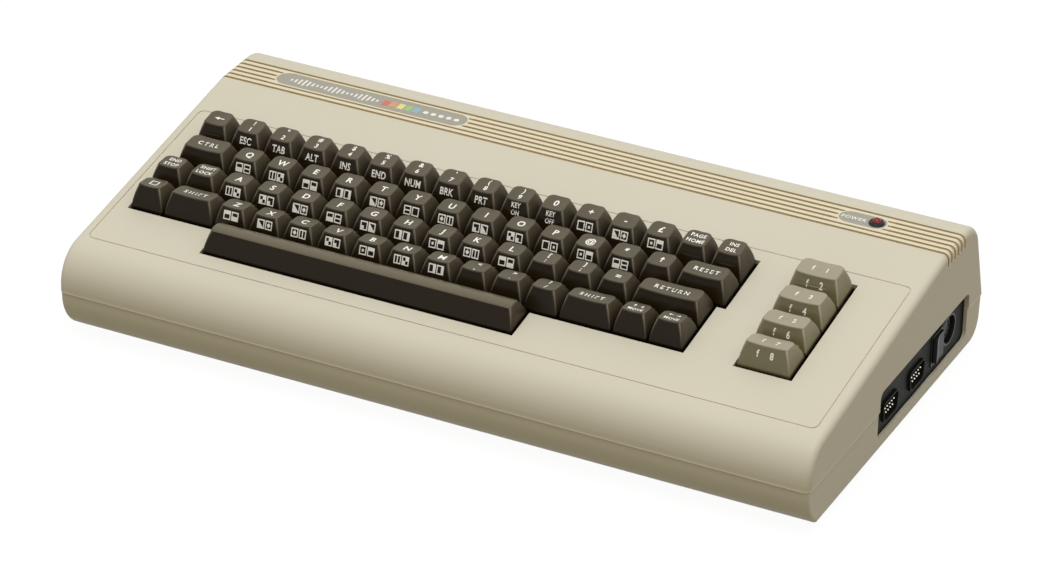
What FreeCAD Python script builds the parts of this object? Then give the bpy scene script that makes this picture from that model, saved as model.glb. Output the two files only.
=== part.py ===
import FreeCAD, Part
import functools
import math
import os
import re
import Sketcher
from FreeCAD import Placement, Rotation, Vector

# A wedge-shaped home computer: keyboard, main board and sockets in one moulded housing.
# +X is the typist's right, +Y the back, +Z up, Z = 0 under the feet. Millimetres and degrees.

SIZES = {
    # housing
    "case_width": 406,
    "case_depth": 216,
    "case_height": 73,
    "foot_height": 3,
    "seam_height": 26,
    "shell_wall": 2.5,
    "edge_match": 0.005,
    "small_sides": 8,
    "lower_inset": 0.7,
    "seam_groove": 0.5,
    "seam_groove_depth": 0.8,
    "deck_angle": 9.28,
    "front_share": 0.985,
    "rear_angle": 16,
    "rear_radius": 16,
    "end_radius": 3.5,
    "keel_radius": 24,
    "keel_height": 24,
    "heel_set_back": 2.1,
    "heel_radius": 12,
    "keel_end_radius": 1.8,
    "overrun": 5,
    "tongue_height": 3,
    "tongue_wall": 1.2,
    "tongue_gap": 0.2,
    # grooves across the top
    "groove_count": 6,
    "groove_pitch": 4.23,
    "groove_width": 1.5,
    "groove_depth": 0.9,
    "groove_stop": 66,
    "groove_corner": 1.4,
    # line round the keyboard
    "line_width": 0.5,
    "line_radius": 3.5,
    # name plates
    "badge_length": 111,
    "badge_width": 14.5,
    "lamp_badge_length": 26.5,
    "lamp_badge_width": 13,
    "badge_rim": 0.8,
    "badge_recess": 0.6,
    "badge_thickness": 0.5,
    "badge_gap": 0.1,
    # power lamp
    "lamp_inset": 5.9,
    "lamp_radius": 2.5,
    "lamp_flange_radius": 2.9,
    "lamp_flange": 1,
    "lamp_rise": 3.2,
    "lead_radius": 0.4,
    "lead_length": 8,
    "lead_spacing": 2.54,
    "collar_radius": 4.1,
    "collar_lip_radius": 3.3,
    "collar_rise": 1.4,
    "collar_neck": 3.3,
    "collar_bore": 2.6,
    "collar_depth": 3.5,
    # keys
    "key_rows": 4,
    "row_keys": 16,
    "key_gap": 0.7,
    "key_travel": 3.8,
    "row_stagger_share": 0.25,
    "well_clearance": 0.7,
    "well_rear_extra": 2.1,
    "cap_drop": 2,
    "cap_side_inset": 2.15,
    "cap_front_corner": 1,
    "cap_rear_corner": 1.8,
    "cap_peak": 19,
    "cap_wall": 1.3,
    "cap_roof": 2.2,
    "dish_depth": 0.7,
    "row1_inset": 3.8,
    "row1_front": 14.5,
    "row1_tilt": 11,
    "row2_inset": 2.8,
    "row2_front": 13.2,
    "row2_tilt": 1,
    "row3_inset": 2.2,
    "row3_front": 13.8,
    "row3_tilt": -4,
    "row4_inset": 1.7,
    "row4_front": 15.1,
    "row4_tilt": -13.5,
    "plunger_reach": 13,
    "guide_clearance": 0.3,
    # space bar and its levelling wire
    "space_start_share": 2.475,
    "space_share": 8.99,
    "space_end_inset": 4.6,
    "space_front_inset": 2.4,
    "space_rear_inset": 2.8,
    "space_front": 13.6,
    "space_tilt": -5,
    "space_crown": 1.4,
    "space_corner": 1.4,
    "wire_radius": 0.8,
    "wire_span": 110,
    "wire_arm": 8,
    "wire_lift": 5,
    "wire_clearance": 0.08,
    "wire_slack": 0.5,
    "clip_thickness": 3,
    "clip_wall": 1.6,
    # function keys
    "function_left_inset": 4,
    "function_right_inset": 2.8,
    # keyboard carrier
    "carrier_drop": 8.2,
    "carrier_plate": 2,
    "carrier_skirt": 12.5,
    "carrier_wall": 2,
    "carrier_gap": 4.2,
    "matrix_thickness": 1.6,
    "boss_radius": 3,
    "boss_edge": 3.6,
    # side opening and the panel behind it
    "side_inset": 20,
    "side_length": 112,
    "side_low": 9.5,
    "side_high": 36,
    "side_radius": 4,
    "side_clearance": 0.3,
    "side_thickness": 2,
    "side_overlap": 3,
    # controller sockets
    "port1_inset": 94.5,
    "port2_inset": 61.5,
    "port_axis": 19.8,
    "port_sink": 1.3,
    "port_width": 18.4,
    "port_height": 9.8,
    "port_taper_share": 0.09,
    "port_corner": 2.4,
    "port_wall": 0.8,
    "port_recess": 6.5,
    "port_body_width": 30.8,
    "port_body_height": 12.2,
    "port_body_depth": 9,
    "pin_radius": 0.5,
    "pin_pitch": 2.77,
    "pin_row": 2.84,
    "pin_reach": 4.4,
    # power socket and switch
    "jack_inset": 18,
    "jack_axis": 23,
    "jack_radius": 8.6,
    "jack_bore": 7.4,
    "jack_core": 5.9,
    "jack_groove_depth": 8,
    "jack_core_sink": 2,
    "jack_depth": 13,
    "jack_holes": 7,
    "jack_hole_circle": 3.7,
    "jack_hole_radius": 0.8,
    "jack_hole_depth": 4,
    "jack_start": -135,
    "jack_sweep": 270,
    "switch_inset": 35,
    "switch_width": 14,
    "switch_height": 16.8,
    "switch_depth": 15,
    "switch_wall": 1.2,
    "rocker_width": 10.6,
    "rocker_height": 13.6,
    "rocker_sink": 0.6,
    "rocker_rise": 2.2,
    "rocker_pin": 1.2,
    "rocker_set_back": 6,
    "rocker_throw": 10,
    "pin_clearance": 0.06,
    "rocker_gap": 0.3,
    # main board
    "board_top": 13.6,
    "board_thickness": 1.6,
    "board_left_gap": 17,
    "board_right_gap": 6.5,
    "board_rear_gap": 5.5,
    "board_lead": 16,
    "standoff_radius": 4,
    # rear openings and sockets
    "rear_low": 11.5,
    "rear_high": 34,
    "rear_sink": 6.5,
    "opening_margin": 4,
    "cartridge_width": 64,
    "cartridge_slot": 58.6,
    "cartridge_slot_height": 4.6,
    "cartridge_slot_depth": 10,
    "cartridge_height": 13,
    "cartridge_depth": 16,
    "modulator_height": 19,
    "modulator_wall": 1,
    "jack_stub_radius": 4.4,
    "jack_stub_bore": 2.6,
    "jack_stub_length": 5.5,
    "slider_size": 3,
    "slider_rise": 2.5,
    "slider_flange": 9,
    "slider_travel": 3,
    "slider_clearance": 0.2,
    "din_width": 19,
    "din_height": 18.8,
    "cassette_width": 24,
    "user_width": 52,
    "edge_reach": 8,
    # inside the housing
    "can_height": 17,
    "can_wall": 0.8,
    "chip_width": 14,
    "chip_height": 3.8,
    "chip_lift": 1,
    "chip_leg": 0.5,
    "capacitor_radius": 5,
    "capacitor_height": 16,
    "sink_width": 46,
    "sink_depth": 14,
    "sink_height": 14,
    "sink_fin": 1.6,
    "sink_fins": 6,
    "sink_board_share": 0.205882,
    # underside
    "rubber_radius": 6.5,
    "rubber_top_radius": 7.5,
    "rubber_inset_x": 24,
    "rubber_inset_y": 28,
    "screw_inset": 18.5,
    "screw_head": 2.8,
    "screw_head_height": 2,
    "screw_shank": 1.5,
    "screw_length": 14,
    "screw_cup": 5,
    "screw_cup_depth": 4.5,
    "screw_cup_floor": 2,
    "screw_clearance": 0.3,
    "screw_post": 3.2,
    "vent_width": 3,
    "vent_pitch": 7,
    "vent_count": 8,
}

# Places and lengths along the width, as shares of the case width.
WIDTH_SHARES = {
    "key_pitch": 0.046921,
    "key_left": 0.455690,
    "function_left": 0.351970,
    "function_width": 0.069704,
    "line_left": 0.486453,
    "line_right": 0.485468,
    "badge_left": 0.435961,
    "lamp_badge_left": 0.342365,
    "carrier_right": 0.453202,
    "cartridge_x": 0.369458,
    "modulator_x": 0.206897,
    "modulator_width": 0.128079,
    "jack_stub_x": 0.187192,
    "slider_x": 0.236453,
    "monitor_x": 0.098522,
    "serial_x": 0.034483,
    "cassette_x": -0.078818,
    "user_x": -0.275862,
    "can_x": -0.024631,
    "can_width": 0.172414,
    "sink_x": 0.369458,
    "screw_spread": 0.406404,
    "vent_x": 0.147783,
    "vent_length": 0.113300,
}

# Places and lengths along the depth, as shares of the case depth.
DEPTH_SHARES = {
    "crest_y": 0.256694,
    "row_pitch": 0.088194,
    "keys_front": 0.282731,
    "cap_top_depth": 0.057870,
    "plunger_size": 0.027778,
    "wire_set_back": 0.023148,
    "line_front": 0.417130,
    "line_rear": 0.118519,
    "groove_start": 0.257407,
    "badge_y": 0.315278,
    "carrier_front": 0.398148,
    "carrier_rear": 0.127315,
    "modulator_depth": 0.277778,
    "can_y": 0.138889,
    "can_depth": 0.231481,
    "vent_y": 0.240741,
}

# Sizes that follow from others: the deck's slope, what keeps its distance from an end, and the socket row.
RULES = {
    "deck_height": "case_height - crest_y * tan(deck_angle)",
    "front_radius": "front_share * (deck_height - case_depth / 2 * tan(deck_angle) - seam_height)",
    "lamp_x": "lamp_badge_left + lamp_badge_length - lamp_inset",
    "rear_face": "case_depth / 2 - rear_sink",
    "board_rear": "rear_face - board_rear_gap",
    "board_left": "case_width / 2 - board_left_gap",
    "board_right": "case_width / 2 - board_right_gap",
    "carrier_left": "case_width / 2 - carrier_gap",
    "screw_y": "case_depth / 2 - screw_inset",
    "side_rear": "case_depth / 2 - side_inset",
    "side_front": "side_length - side_rear",
    "board_front": "side_front + board_lead",
    "sink_y": "sink_board_share * (board_front + board_rear) - board_front",
    "jack_y": "side_rear - jack_inset",
    "switch_y": "side_rear - switch_inset",
    "port2_y": "side_rear - port2_inset",
    "port1_y": "side_rear - port1_inset",
}

doc = FreeCAD.newDocument("home_computer")
sheet = doc.addObject("Spreadsheet::Sheet", "Sizes")
CELLS = {name: str(number) for name, number in SIZES.items()}
CELLS.update({name: f"={share} * case_width" for name, share in WIDTH_SHARES.items()})
CELLS.update({name: f"={share} * case_depth" for name, share in DEPTH_SHARES.items()})
CELLS.update({name: f"={rule}" for name, rule in RULES.items()})
for row, (alias, content) in enumerate(CELLS.items(), start=1):
    sheet.set(f"A{row}", alias)
    sheet.setAlias(f"B{row}", alias)
for row, content in enumerate(CELLS.values(), start=1):
    sheet.set(f"B{row}", content)
doc.recompute()


def formula(text):
    """A formula in size names, rewritten so that it reads the sheet."""
    return re.sub(r"[a-z]\w*", lambda word: "Sizes." + word[0] if word[0] in CELLS else word[0], str(text))


def size(text):
    """The number that a formula in size names comes to."""
    answer = sheet.evalExpression(formula(text))
    return float(getattr(answer, "Value", answer))


def bind(item, **properties):
    for name, text in properties.items():
        item.setExpression(name.replace("__", "."), formula(text))
    return item


def place(item, x=0, y=0, z=0, axis=(0, 0, 1), angle=0):
    """Sets an object at bound coordinates, turned by a bound angle about an axis."""
    item.Placement = Placement(Vector(size(x), size(y), size(z)), Rotation(Vector(*axis), size(angle)))
    bind(item, Placement__Base__x=x, Placement__Base__y=y, Placement__Base__z=z)
    if angle:
        bind(item, Placement__Rotation__Angle=angle)
    return item


def on_deck(item):
    """Lifts what is drawn flat, in the keyboard's own plane, to the sloping deck."""
    return place(item, z="deck_height", axis=(1, 0, 0), angle="deck_angle")


def box(name, x, y, z, length, width, height):
    item = doc.addObject("Part::Box", name)
    bind(item, Length=length, Width=width, Height=height)
    return place(item, x, y, z)


def span(name, x0, x1, y0, y1, z0, z1):
    """A box between two corners."""
    return box(name, x0, y0, z0, f"({x1}) - ({x0})", f"({y1}) - ({y0})", f"({z1}) - ({z0})")


QUARTER_TURN = 90
ALONG = {"x": ((0, 1, 0), QUARTER_TURN), "y": ((-1, 0, 0), QUARTER_TURN), "z": ((0, 0, 1), 0)}


def rod(name, radius, height, x, y, z, along="z", sides=None):
    """A bar that starts at a point and runs along X, Y or Z: round, or flat-sided where small ones repeat."""
    if sides:
        item = doc.addObject("Part::Prism", name)
        item.Polygon = int(size(sides))
        bind(item, Circumradius=radius, Height=height)
    else:
        item = doc.addObject("Part::Cylinder", name)
        bind(item, Radius=radius, Height=height)
    return place(item, x, y, z, *ALONG[along])


def fuse(name, items):
    item = doc.addObject("Part::MultiFuse", name)
    item.Shapes = items
    return item


def cut(name, base, tools):
    item = doc.addObject("Part::Cut", name)
    item.Base = base
    item.Tool = tools[0] if len(tools) == 1 else fuse(name + "_tools", tools)
    return item


def group(name, items):
    """Separate solids kept as one piece, such as a set of feet."""
    item = doc.addObject("Part::Compound", name)
    item.Links = items
    return item


def solid(name, shape):
    item = doc.addObject("Part::Feature", name)
    item.Shape = shape
    return item


def plane(body, role):
    return next(feature for feature in body.Origin.OriginFeatures if feature.Role == role)


def outline(body, name, role, points, lift=0):
    """A closed sketch with bound corners; a third entry is the radius of the arc that ends there."""
    sketch = body.newObject("Sketcher::SketchObject", name)
    sketch.AttachmentSupport = [(plane(body, role), "")]
    sketch.MapMode = "FlatFace"
    sketch.setExpression("AttachmentOffset.Base.z", formula(lift))
    spots = [Vector(size(point[0]), size(point[1]), 0) for point in points]
    ends = []
    for index, point in enumerate(points):
        start, stop = spots[index - 1], spots[index]
        if len(point) > 2:
            radius, chord = size(point[2]), stop - start
            middle = (start + stop) / 2
            side = Vector(-chord.y, chord.x, 0).normalize()
            sag = radius - math.sqrt(radius ** 2 - (chord.Length / 2) ** 2)
            line = Part.Arc(start, middle - side * sag, stop)
            place_in_sketch = sketch.addGeometry(line)
            forward = (sketch.Geometry[place_in_sketch].StartPoint - start).Length < chord.Length / 2
            ends.append((1, 2) if forward else (2, 1))
            radius_row = sketch.addConstraint(Sketcher.Constraint("Radius", place_in_sketch, radius))
            sketch.setExpression(f"Constraints[{radius_row}]", formula(point[2]))
        else:
            sketch.addGeometry(Part.LineSegment(start, stop))
            ends.append((1, 2))
    for index in range(len(points)):
        following = (index + 1) % len(points)
        sketch.addConstraint(Sketcher.Constraint("Coincident", index, ends[index][1],
                                                 following, ends[following][0]))
    for index, (point, spot) in enumerate(zip(points, spots)):
        for kind, text, number in (("DistanceX", point[0], spot.x), ("DistanceY", point[1], spot.y)):
            row = sketch.addConstraint(Sketcher.Constraint(kind, -1, 1, index, ends[index][1], number))
            sketch.setExpression(f"Constraints[{row}]", formula(text))
    return sketch


def pad(body, name, sketch, length, midplane=False):
    feature = body.newObject("PartDesign::Pad", name)
    feature.Profile = sketch
    feature.Midplane = midplane
    bind(feature, Length=length)
    doc.recompute()
    return feature


def close_to(one, other):
    return abs(one - other) < size("edge_match")


def fillet(body, name, base, test, radius):
    feature = body.newObject("PartDesign::Fillet", name)
    feature.Base = (base, [f"Edge{index}" for index, edge in enumerate(base.Shape.Edges, start=1)
                           if test(edge.BoundBox)])
    bind(feature, Radius=radius)
    doc.recompute()
    return feature


def hollow(body, name, base, height):
    """Empties a block into an even wall, open on the flat face at one height."""
    feature = body.newObject("PartDesign::Thickness", name)
    feature.Base = (base, [f"Face{index}" for index, face in enumerate(base.Shape.Faces, start=1)
                           if close_to(face.BoundBox.ZMin, size(height))
                           and close_to(face.BoundBox.ZMax, size(height))])
    feature.Reversed = True
    bind(feature, Value="shell_wall")
    doc.recompute()
    return feature


def along_x(y_text, z_text):
    """Picks the edge that runs the width of the housing through one corner of its profile."""
    y, z, width = size(y_text), size(z_text), size("case_width")
    return lambda b: b.XLength > width / 2 and close_to(b.YMin, y) and close_to(b.ZMin, z)


def end_edges(width):
    """Picks the edges round both end faces, except along the seam."""
    half, seam = size(width) / 2, size("seam_height")

    def test(b):
        at_seam = close_to(b.ZMin, seam) and close_to(b.ZMax, seam)
        return close_to(b.XMin, b.XMax) and close_to(abs(b.XMin), half) and not at_seam
    return test


# Upper shell: injection-moulded, one even wall, open below, swept over the front in one curve.
UPPER_PROFILE = [
    ("-case_depth / 2", "seam_height"),
    ("-case_depth / 2", "deck_height - case_depth / 2 * tan(deck_angle)"),
    ("(case_height - deck_height) / tan(deck_angle)", "case_height"),
    ("case_depth / 2 - (case_height - seam_height) * tan(rear_angle)", "case_height"),
    ("case_depth / 2", "seam_height"),
]
upper = doc.addObject("PartDesign::Body", "upper_shell")
upper_block = pad(upper, "upper_block", outline(upper, "upper_profile", "YZ_Plane", UPPER_PROFILE),
                  "case_width", midplane=True)
upper_front = fillet(upper, "upper_front", upper_block, along_x(*UPPER_PROFILE[1]), "front_radius")
upper_rear = fillet(upper, "upper_rear", upper_front, along_x(*UPPER_PROFILE[3]), "rear_radius")
upper_wall = hollow(upper, "upper_wall", upper_rear, "seam_height")
fillet(upper, "upper_ends", upper_wall, end_edges("case_width"), "end_radius")

# Lower shell: a shallow tray set in a little at the seam, its front keel one long arc.
def tray(inset, top):
    """The tray's section, set in from its outside by a wall or by nothing."""
    back, floor = f"(case_depth / 2 - lower_inset - {inset})", f"(foot_height + {inset})"
    lean, radius = "heel_set_back / (seam_height - foot_height)", f"(keel_radius - {inset})"
    return [
        (f"{back} + {lean} * ({top} - seam_height)", top),
        (f"-{back}", top),
        (f"-{back}", "keel_height"),
        (f"-{back} + {radius} - sqrt({radius}^2 - (keel_height - {floor})^2)", floor, radius),
        (f"{back} - {lean} * (seam_height - {floor})", floor),
    ]


def tray_block(name, inset, top):
    body = doc.addObject("PartDesign::Body", name)
    profile = tray(inset, top)
    block = pad(body, name + "_block", outline(body, name + "_profile", "YZ_Plane", profile),
                f"case_width - 2 * (lower_inset + {inset})", midplane=True)
    return body, fillet(body, name + "_heel", block, along_x(*profile[4]), f"heel_radius - {inset}")


lower, lower_heel = tray_block("lower_shell", "0", "seam_height")
fillet(lower, "lower_ends", lower_heel, end_edges("case_width - 2 * lower_inset"), "keel_end_radius")
lower_room, _ = tray_block("lower_room", "shell_wall", "seam_height + overrun")

# A narrow groove under the seam keeps the joint between the shells an even shadow.
groove_in = "(lower_inset + seam_groove_depth)"
seam_outside = span("seam_outside", "-case_width", "case_width", "-case_depth", "case_depth",
                    "seam_height - seam_groove", "seam_height + overrun")
seam_inside = span("seam_inside", f"-case_width / 2 + {groove_in}", f"case_width / 2 - {groove_in}",
                   f"-case_depth / 2 + {groove_in}", f"case_depth / 2 - {groove_in}",
                   "seam_height - overrun", "seam_height + 2 * overrun")
seam_groove = cut("seam_groove", seam_outside, [seam_inside])

# A tongue on the lower shell stands inside the upper one and keys the seam.
tongue_in = "(shell_wall + tongue_gap)"
tongue_rear = f"case_depth / 2 - {tongue_in} - tongue_height * tan(rear_angle)"
tongue_outer = span("tongue_outer", f"-case_width / 2 + {tongue_in}", f"case_width / 2 - {tongue_in}",
                    f"-case_depth / 2 + {tongue_in}", tongue_rear,
                    "seam_height - tongue_height", "seam_height + tongue_height")
tongue = cut("tongue_ring", tongue_outer, [
    span("tongue_inner", f"-case_width / 2 + {tongue_in} + tongue_wall",
         f"case_width / 2 - {tongue_in} - tongue_wall",
         f"-case_depth / 2 + {tongue_in} + tongue_wall", f"{tongue_rear} - tongue_wall",
         "seam_height - tongue_height - overrun", "seam_height + tongue_height + overrun")])

# Wells through the deck: one stepped well for the main keys and one for the function keys.
key_start = "(-key_left - row_stagger_share * key_pitch - well_clearance)"
key_stop = "(-key_left + (row_keys - row_stagger_share) * key_pitch + well_clearance)"
space_left = "(-key_left + space_start_share * key_pitch)"
space_right = "(-key_left + (space_start_share + space_share) * key_pitch)"
well_front = "(-keys_front - well_clearance)"
step_right = "(-keys_front + 2 * row_pitch - well_clearance)"
step_left = "(-keys_front + 2 * row_pitch + well_clearance)"
well_rear = "(-keys_front + key_rows * row_pitch + well_rear_extra)"
WELL = [
    (key_start, well_front),
    (space_left + " - well_clearance", well_front),
    (space_left + " - well_clearance", well_front + " - row_pitch"),
    (space_right + " + well_clearance", well_front + " - row_pitch"),
    (space_right + " + well_clearance", well_front),
    (key_stop, well_front),
    (key_stop, step_right),
    ("-key_left + row_keys * key_pitch + well_clearance", step_right),
    ("-key_left + row_keys * key_pitch + well_clearance", well_rear),
    ("-key_left - well_clearance", well_rear),
    ("-key_left - well_clearance", step_left),
    (key_start, step_left),
]
FUNCTION_WELL = [
    ("function_left - 2 * well_clearance", well_front),
    ("function_left + function_width + well_clearance", well_front),
    ("function_left + function_width + well_clearance", well_rear),
    ("function_left - 2 * well_clearance", well_rear),
]


def well(name, points):
    body = doc.addObject("PartDesign::Body", name)
    sketch = outline(body, name + "_outline", "XY_Plane", points)
    pad(body, name + "_pad", sketch, "6 * shell_wall", midplane=True)
    return on_deck(body)


def rounded_block(x0, x1, y0, y1, z0, z1, radius):
    """An upright block with four round corners, from plain numbers."""
    block = Part.makeBox(x1 - x0, y1 - y0, z1 - z0, Vector(x0, y0, z0))
    return block.makeFillet(radius, [edge for edge in block.Edges if edge.BoundBox.ZLength > radius])


def line_block(shrink):
    edge = size(f"line_width * {shrink}")
    return rounded_block(-size("line_left") + edge, size("line_right") - edge, -size("line_front") + edge,
                         size("line_rear") - edge, -size("line_width"), size("line_width + overrun"),
                         size("line_radius"))


key_line = on_deck(solid("key_line", line_block(0).cut(line_block(1))))

# Six grooves cross the flat top and run a little way down both ends.
half = "case_width / 2"
GROOVE_BAND = [
    (f"-{half} - overrun", "groove_stop"),
    (f"-{half} - overrun", "case_height + overrun"),
    (f"{half} + overrun", "case_height + overrun"),
    (f"{half} + overrun", "groove_stop"),
    (f"{half} - groove_depth", "groove_stop"),
    (f"{half} - groove_depth", "case_height - groove_depth - groove_corner"),
    (f"{half} - groove_depth - groove_corner", "case_height - groove_depth"),
    (f"-{half} + groove_depth + groove_corner", "case_height - groove_depth"),
    (f"-{half} + groove_depth", "case_height - groove_depth - groove_corner"),
    (f"-{half} + groove_depth", "groove_stop"),
]
grooves = doc.addObject("PartDesign::Body", "grooves")
groove = pad(grooves, "groove", outline(grooves, "groove_outline", "XZ_Plane", GROOVE_BAND,
                                        lift="-groove_start"), "groove_width", midplane=True)
groove_row = grooves.newObject("PartDesign::LinearPattern", "groove_row")
groove_row.Originals = [groove]
groove_row.Direction = (plane(grooves, "Y_Axis"), [""])
bind(groove_row, Length="(groove_count - 1) * groove_pitch", Occurrences="groove_count")
grooves.Tip = groove_row


def stadium(name, left, length, width, low, high):
    """A flat plate with round ends, lying along X on the ribbed band."""
    middle = span(name + "_middle", f"{left} + {width} / 2", f"{left} + {length} - {width} / 2",
                  f"badge_y - {width} / 2", f"badge_y + {width} / 2", low, high)
    ends = [rod(name + end, f"{width} / 2", f"({high}) - ({low})", x, "badge_y", low)
            for end, x in (("_start", f"{left} + {width} / 2"), ("_end", f"{left} + {length} - {width} / 2"))]
    return fuse(name, [middle] + ends)


PLATES = {"name_badge": ("-badge_left", "badge_length", "badge_width"),
          "power_badge": ("lamp_badge_left", "lamp_badge_length", "lamp_badge_width")}
badge_pads = []
badge_hollows = []
for badge, (left, length, width) in PLATES.items():
    badge_pads.append(stadium(badge + "_pad", left, length, width, "case_height - shell_wall", "case_height"))
    badge_hollows.append(stadium(badge + "_hollow", f"({left} + badge_rim)", f"({length} - 2 * badge_rim)",
                                 f"({width} - 2 * badge_rim)", "case_height - badge_recess",
                                 "case_height + overrun"))
lamp_hole = rod("lamp_hole", "collar_neck + badge_gap", "4 * shell_wall", "lamp_x", "badge_y",
                "case_height - 3 * shell_wall")

# The opening in the right end and those in the back pass through both shells.
side_cutter = solid("side_cutter", rounded_block(
    -size("side_high"), -size("side_low"), -size("side_front"), size("side_rear"),
    -size("shell_wall + end_radius"), size("overrun"), size("side_radius")))
place(side_cutter, "case_width / 2", axis=(0, 1, 0), angle=QUARTER_TURN)
side_face = "(case_width / 2 - shell_wall - side_clearance)"
side_rebate = span("side_rebate", f"{side_face} - side_thickness - side_clearance",
                   f"{side_face} + side_clearance",
                   "-side_front - side_overlap - side_clearance", "side_rear + side_overlap + side_clearance",
                   "side_low - side_overlap - side_clearance", "side_high + side_overlap + side_clearance")
REAR_OPENINGS = {
    "cartridge_opening": ("cartridge_x - cartridge_width / 2", "cartridge_x + cartridge_width / 2"),
    "modulator_opening": ("jack_stub_x - jack_stub_radius", "slider_x + slider_flange / 2"),
    "round_opening": ("serial_x - din_width / 2", "monitor_x + din_width / 2"),
    "cassette_opening": ("cassette_x - cassette_width / 2", "cassette_x + cassette_width / 2"),
    "user_opening": ("user_x - user_width / 2", "user_x + user_width / 2"),
}
rear_cutters = [span(name, f"{low} - opening_margin", f"{high} + opening_margin", "rear_face",
                     "case_depth / 2 + overrun", "rear_low", "rear_high")
                for name, (low, high) in REAR_OPENINGS.items()]

# Posts under the deck carry the keyboard, and three more take the screws from below.
post_left, post_right = "(-carrier_left + boss_edge)", "(carrier_right - boss_edge)"
post_front, post_rear = "(-carrier_front + boss_edge)", "(carrier_rear - boss_edge)"
POSTS = [(x, v) for x in (post_left, post_right) for v in (post_front, post_rear)]
REAR_POST_SHARES = (4, 12)
POSTS += [(f"(-key_left + {share} * key_pitch)", post_rear) for share in REAR_POST_SHARES]
posts = []
for number, (x, v) in enumerate(POSTS, start=1):
    posts.append(rod(f"post_{number}", "boss_radius", "carrier_drop - shell_wall / 2", x, v, "-carrier_drop",
                     sides="small_sides"))
posts = on_deck(group("posts", posts))

SCREW_X = ("-screw_spread", "0", "screw_spread")
cup_top = "(foot_height + screw_cup_depth + screw_cup_floor)"
screw_posts = []
screw_bores = []
screw_cups = []
screw_holes = []
screws = []
for number, x in enumerate(SCREW_X, start=1):
    deck_here = "(deck_height - screw_y * tan(deck_angle))"
    screw_posts.append(rod(f"screw_post_{number}", "screw_post", f"{deck_here} - shell_wall - {cup_top}",
                           x, "-screw_y", cup_top))
    screw_bores.append(rod(f"screw_bore_{number}", "screw_shank", "screw_length", x, "-screw_y", cup_top))
    screw_cups.append(rod(f"screw_cup_{number}", "screw_cup", "screw_cup_depth + screw_cup_floor",
                          x, "-screw_y", "foot_height"))
    screw_holes.append(rod(f"screw_recess_{number}", "screw_head + screw_clearance",
                           "screw_cup_depth + overrun", x, "-screw_y", "foot_height - overrun"))
    screw_holes.append(rod(f"screw_hole_{number}", "screw_shank + screw_clearance", "4 * screw_cup_floor",
                           x, "-screw_y", "foot_height"))
    seat = "foot_height + screw_cup_depth"
    screws.append(fuse(f"screw_{number}", [
        rod(f"screw_head_{number}", "screw_head", "screw_head_height", x, "-screw_y",
            f"{seat} - screw_head_height"),
        rod(f"screw_shank_{number}", "screw_shank", "screw_length", x, "-screw_y",
            f"{seat} - screw_head_height / 2"),
    ]))

# Cooling slots through the floor, in two rows of parallel slits.
vents = doc.addObject("PartDesign::Body", "vents")
SLIT = [("-vent_length / 2", "-vent_width / 2"), ("vent_length / 2", "-vent_width / 2"),
        ("vent_length / 2", "vent_width / 2"), ("-vent_length / 2", "vent_width / 2")]
slit = pad(vents, "slit", outline(vents, "slit_outline", "XY_Plane", SLIT), "3 * (foot_height + shell_wall)",
           midplane=True)
slit_row = vents.newObject("PartDesign::LinearPattern", "slit_row")
slit_row.Originals = [slit]
slit_row.Direction = (plane(vents, "Y_Axis"), [""])
bind(slit_row, Length="(vent_count - 1) * vent_pitch", Occurrences="vent_count")
vents.Tip = slit_row
place(vents, "-vent_x", "vent_y - (vent_count - 1) * vent_pitch / 2")
vents_right = doc.addObject("Part::Mirroring", "vents_right")
vents_right.Source = vents
vents_right.Normal = Vector(1, 0, 0)

STANDOFFS = [(x, y) for x in ("-board_left + 2 * standoff_radius", "0", "board_right - 3 * standoff_radius")
             for y in ("-board_front + 2 * standoff_radius", "board_rear - 2 * standoff_radius")]
standoff_foot = "(foot_height + shell_wall / 2)"
standoffs = [rod(f"standoff_{number}", "standoff_radius", f"board_top - board_thickness - {standoff_foot}",
                 x, y, standoff_foot, sides="small_sides")
             for number, (x, y) in enumerate(STANDOFFS, start=1)]

PARTS = {}
ribbed = cut("ribbed_shell", upper, [grooves])
PARTS["top_case"] = cut(
    "top_case", fuse("upper_moulding", [ribbed, posts] + badge_pads + screw_posts),
    [well("key_well", WELL), well("function_well", FUNCTION_WELL), key_line, lamp_hole, side_cutter]
    + badge_hollows + screw_bores + rear_cutters)
tongue_cut = cut("tongue", tongue, [side_rebate, span(
    "tongue_relief", "-case_width", "case_width", "board_rear", "case_depth", "rear_low", "rear_high")])
lower_tray = cut("lower_tray", lower, [lower_room])
PARTS["bottom_case"] = cut(
    "bottom_case", fuse("lower_moulding", [cut("grooved_tray", lower_tray, [seam_groove]), tongue_cut]
                        + screw_cups + standoffs),
    [side_cutter, side_rebate, vents, vents_right] + screw_holes + rear_cutters)

# Four soft feet, turned with a slight taper.
feet = []
for number, (x, y) in enumerate([(x, y) for x in (-1, 1) for y in (-1, 1)], start=1):
    foot = doc.addObject("Part::Cone", f"foot_{number}")
    bind(foot, Radius1="rubber_radius", Radius2="rubber_top_radius", Height="foot_height")
    feet.append(place(foot, f"{x} * (case_width / 2 - rubber_inset_x)",
                      f"{y} * (case_depth / 2 - rubber_inset_y)"))
PARTS["rubber_feet"] = group("rubber_feet", feet)
PARTS["screws"] = group("screws", screws)

# Two thin plates lie in shallow rimmed recesses on the ribbed band.
for badge, (left, length, width) in PLATES.items():
    edge = "(badge_rim + badge_gap)"
    plate = stadium(badge + "_blank", f"({left} + {edge})", f"({length} - 2 * {edge})",
                    f"({width} - 2 * {edge})", "case_height - badge_recess",
                    "case_height - badge_recess + badge_thickness")
    holes = [lamp_hole] if badge == "power_badge" else []
    PARTS[badge] = cut(badge, plate, holes) if holes else group(badge, [plate])


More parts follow.
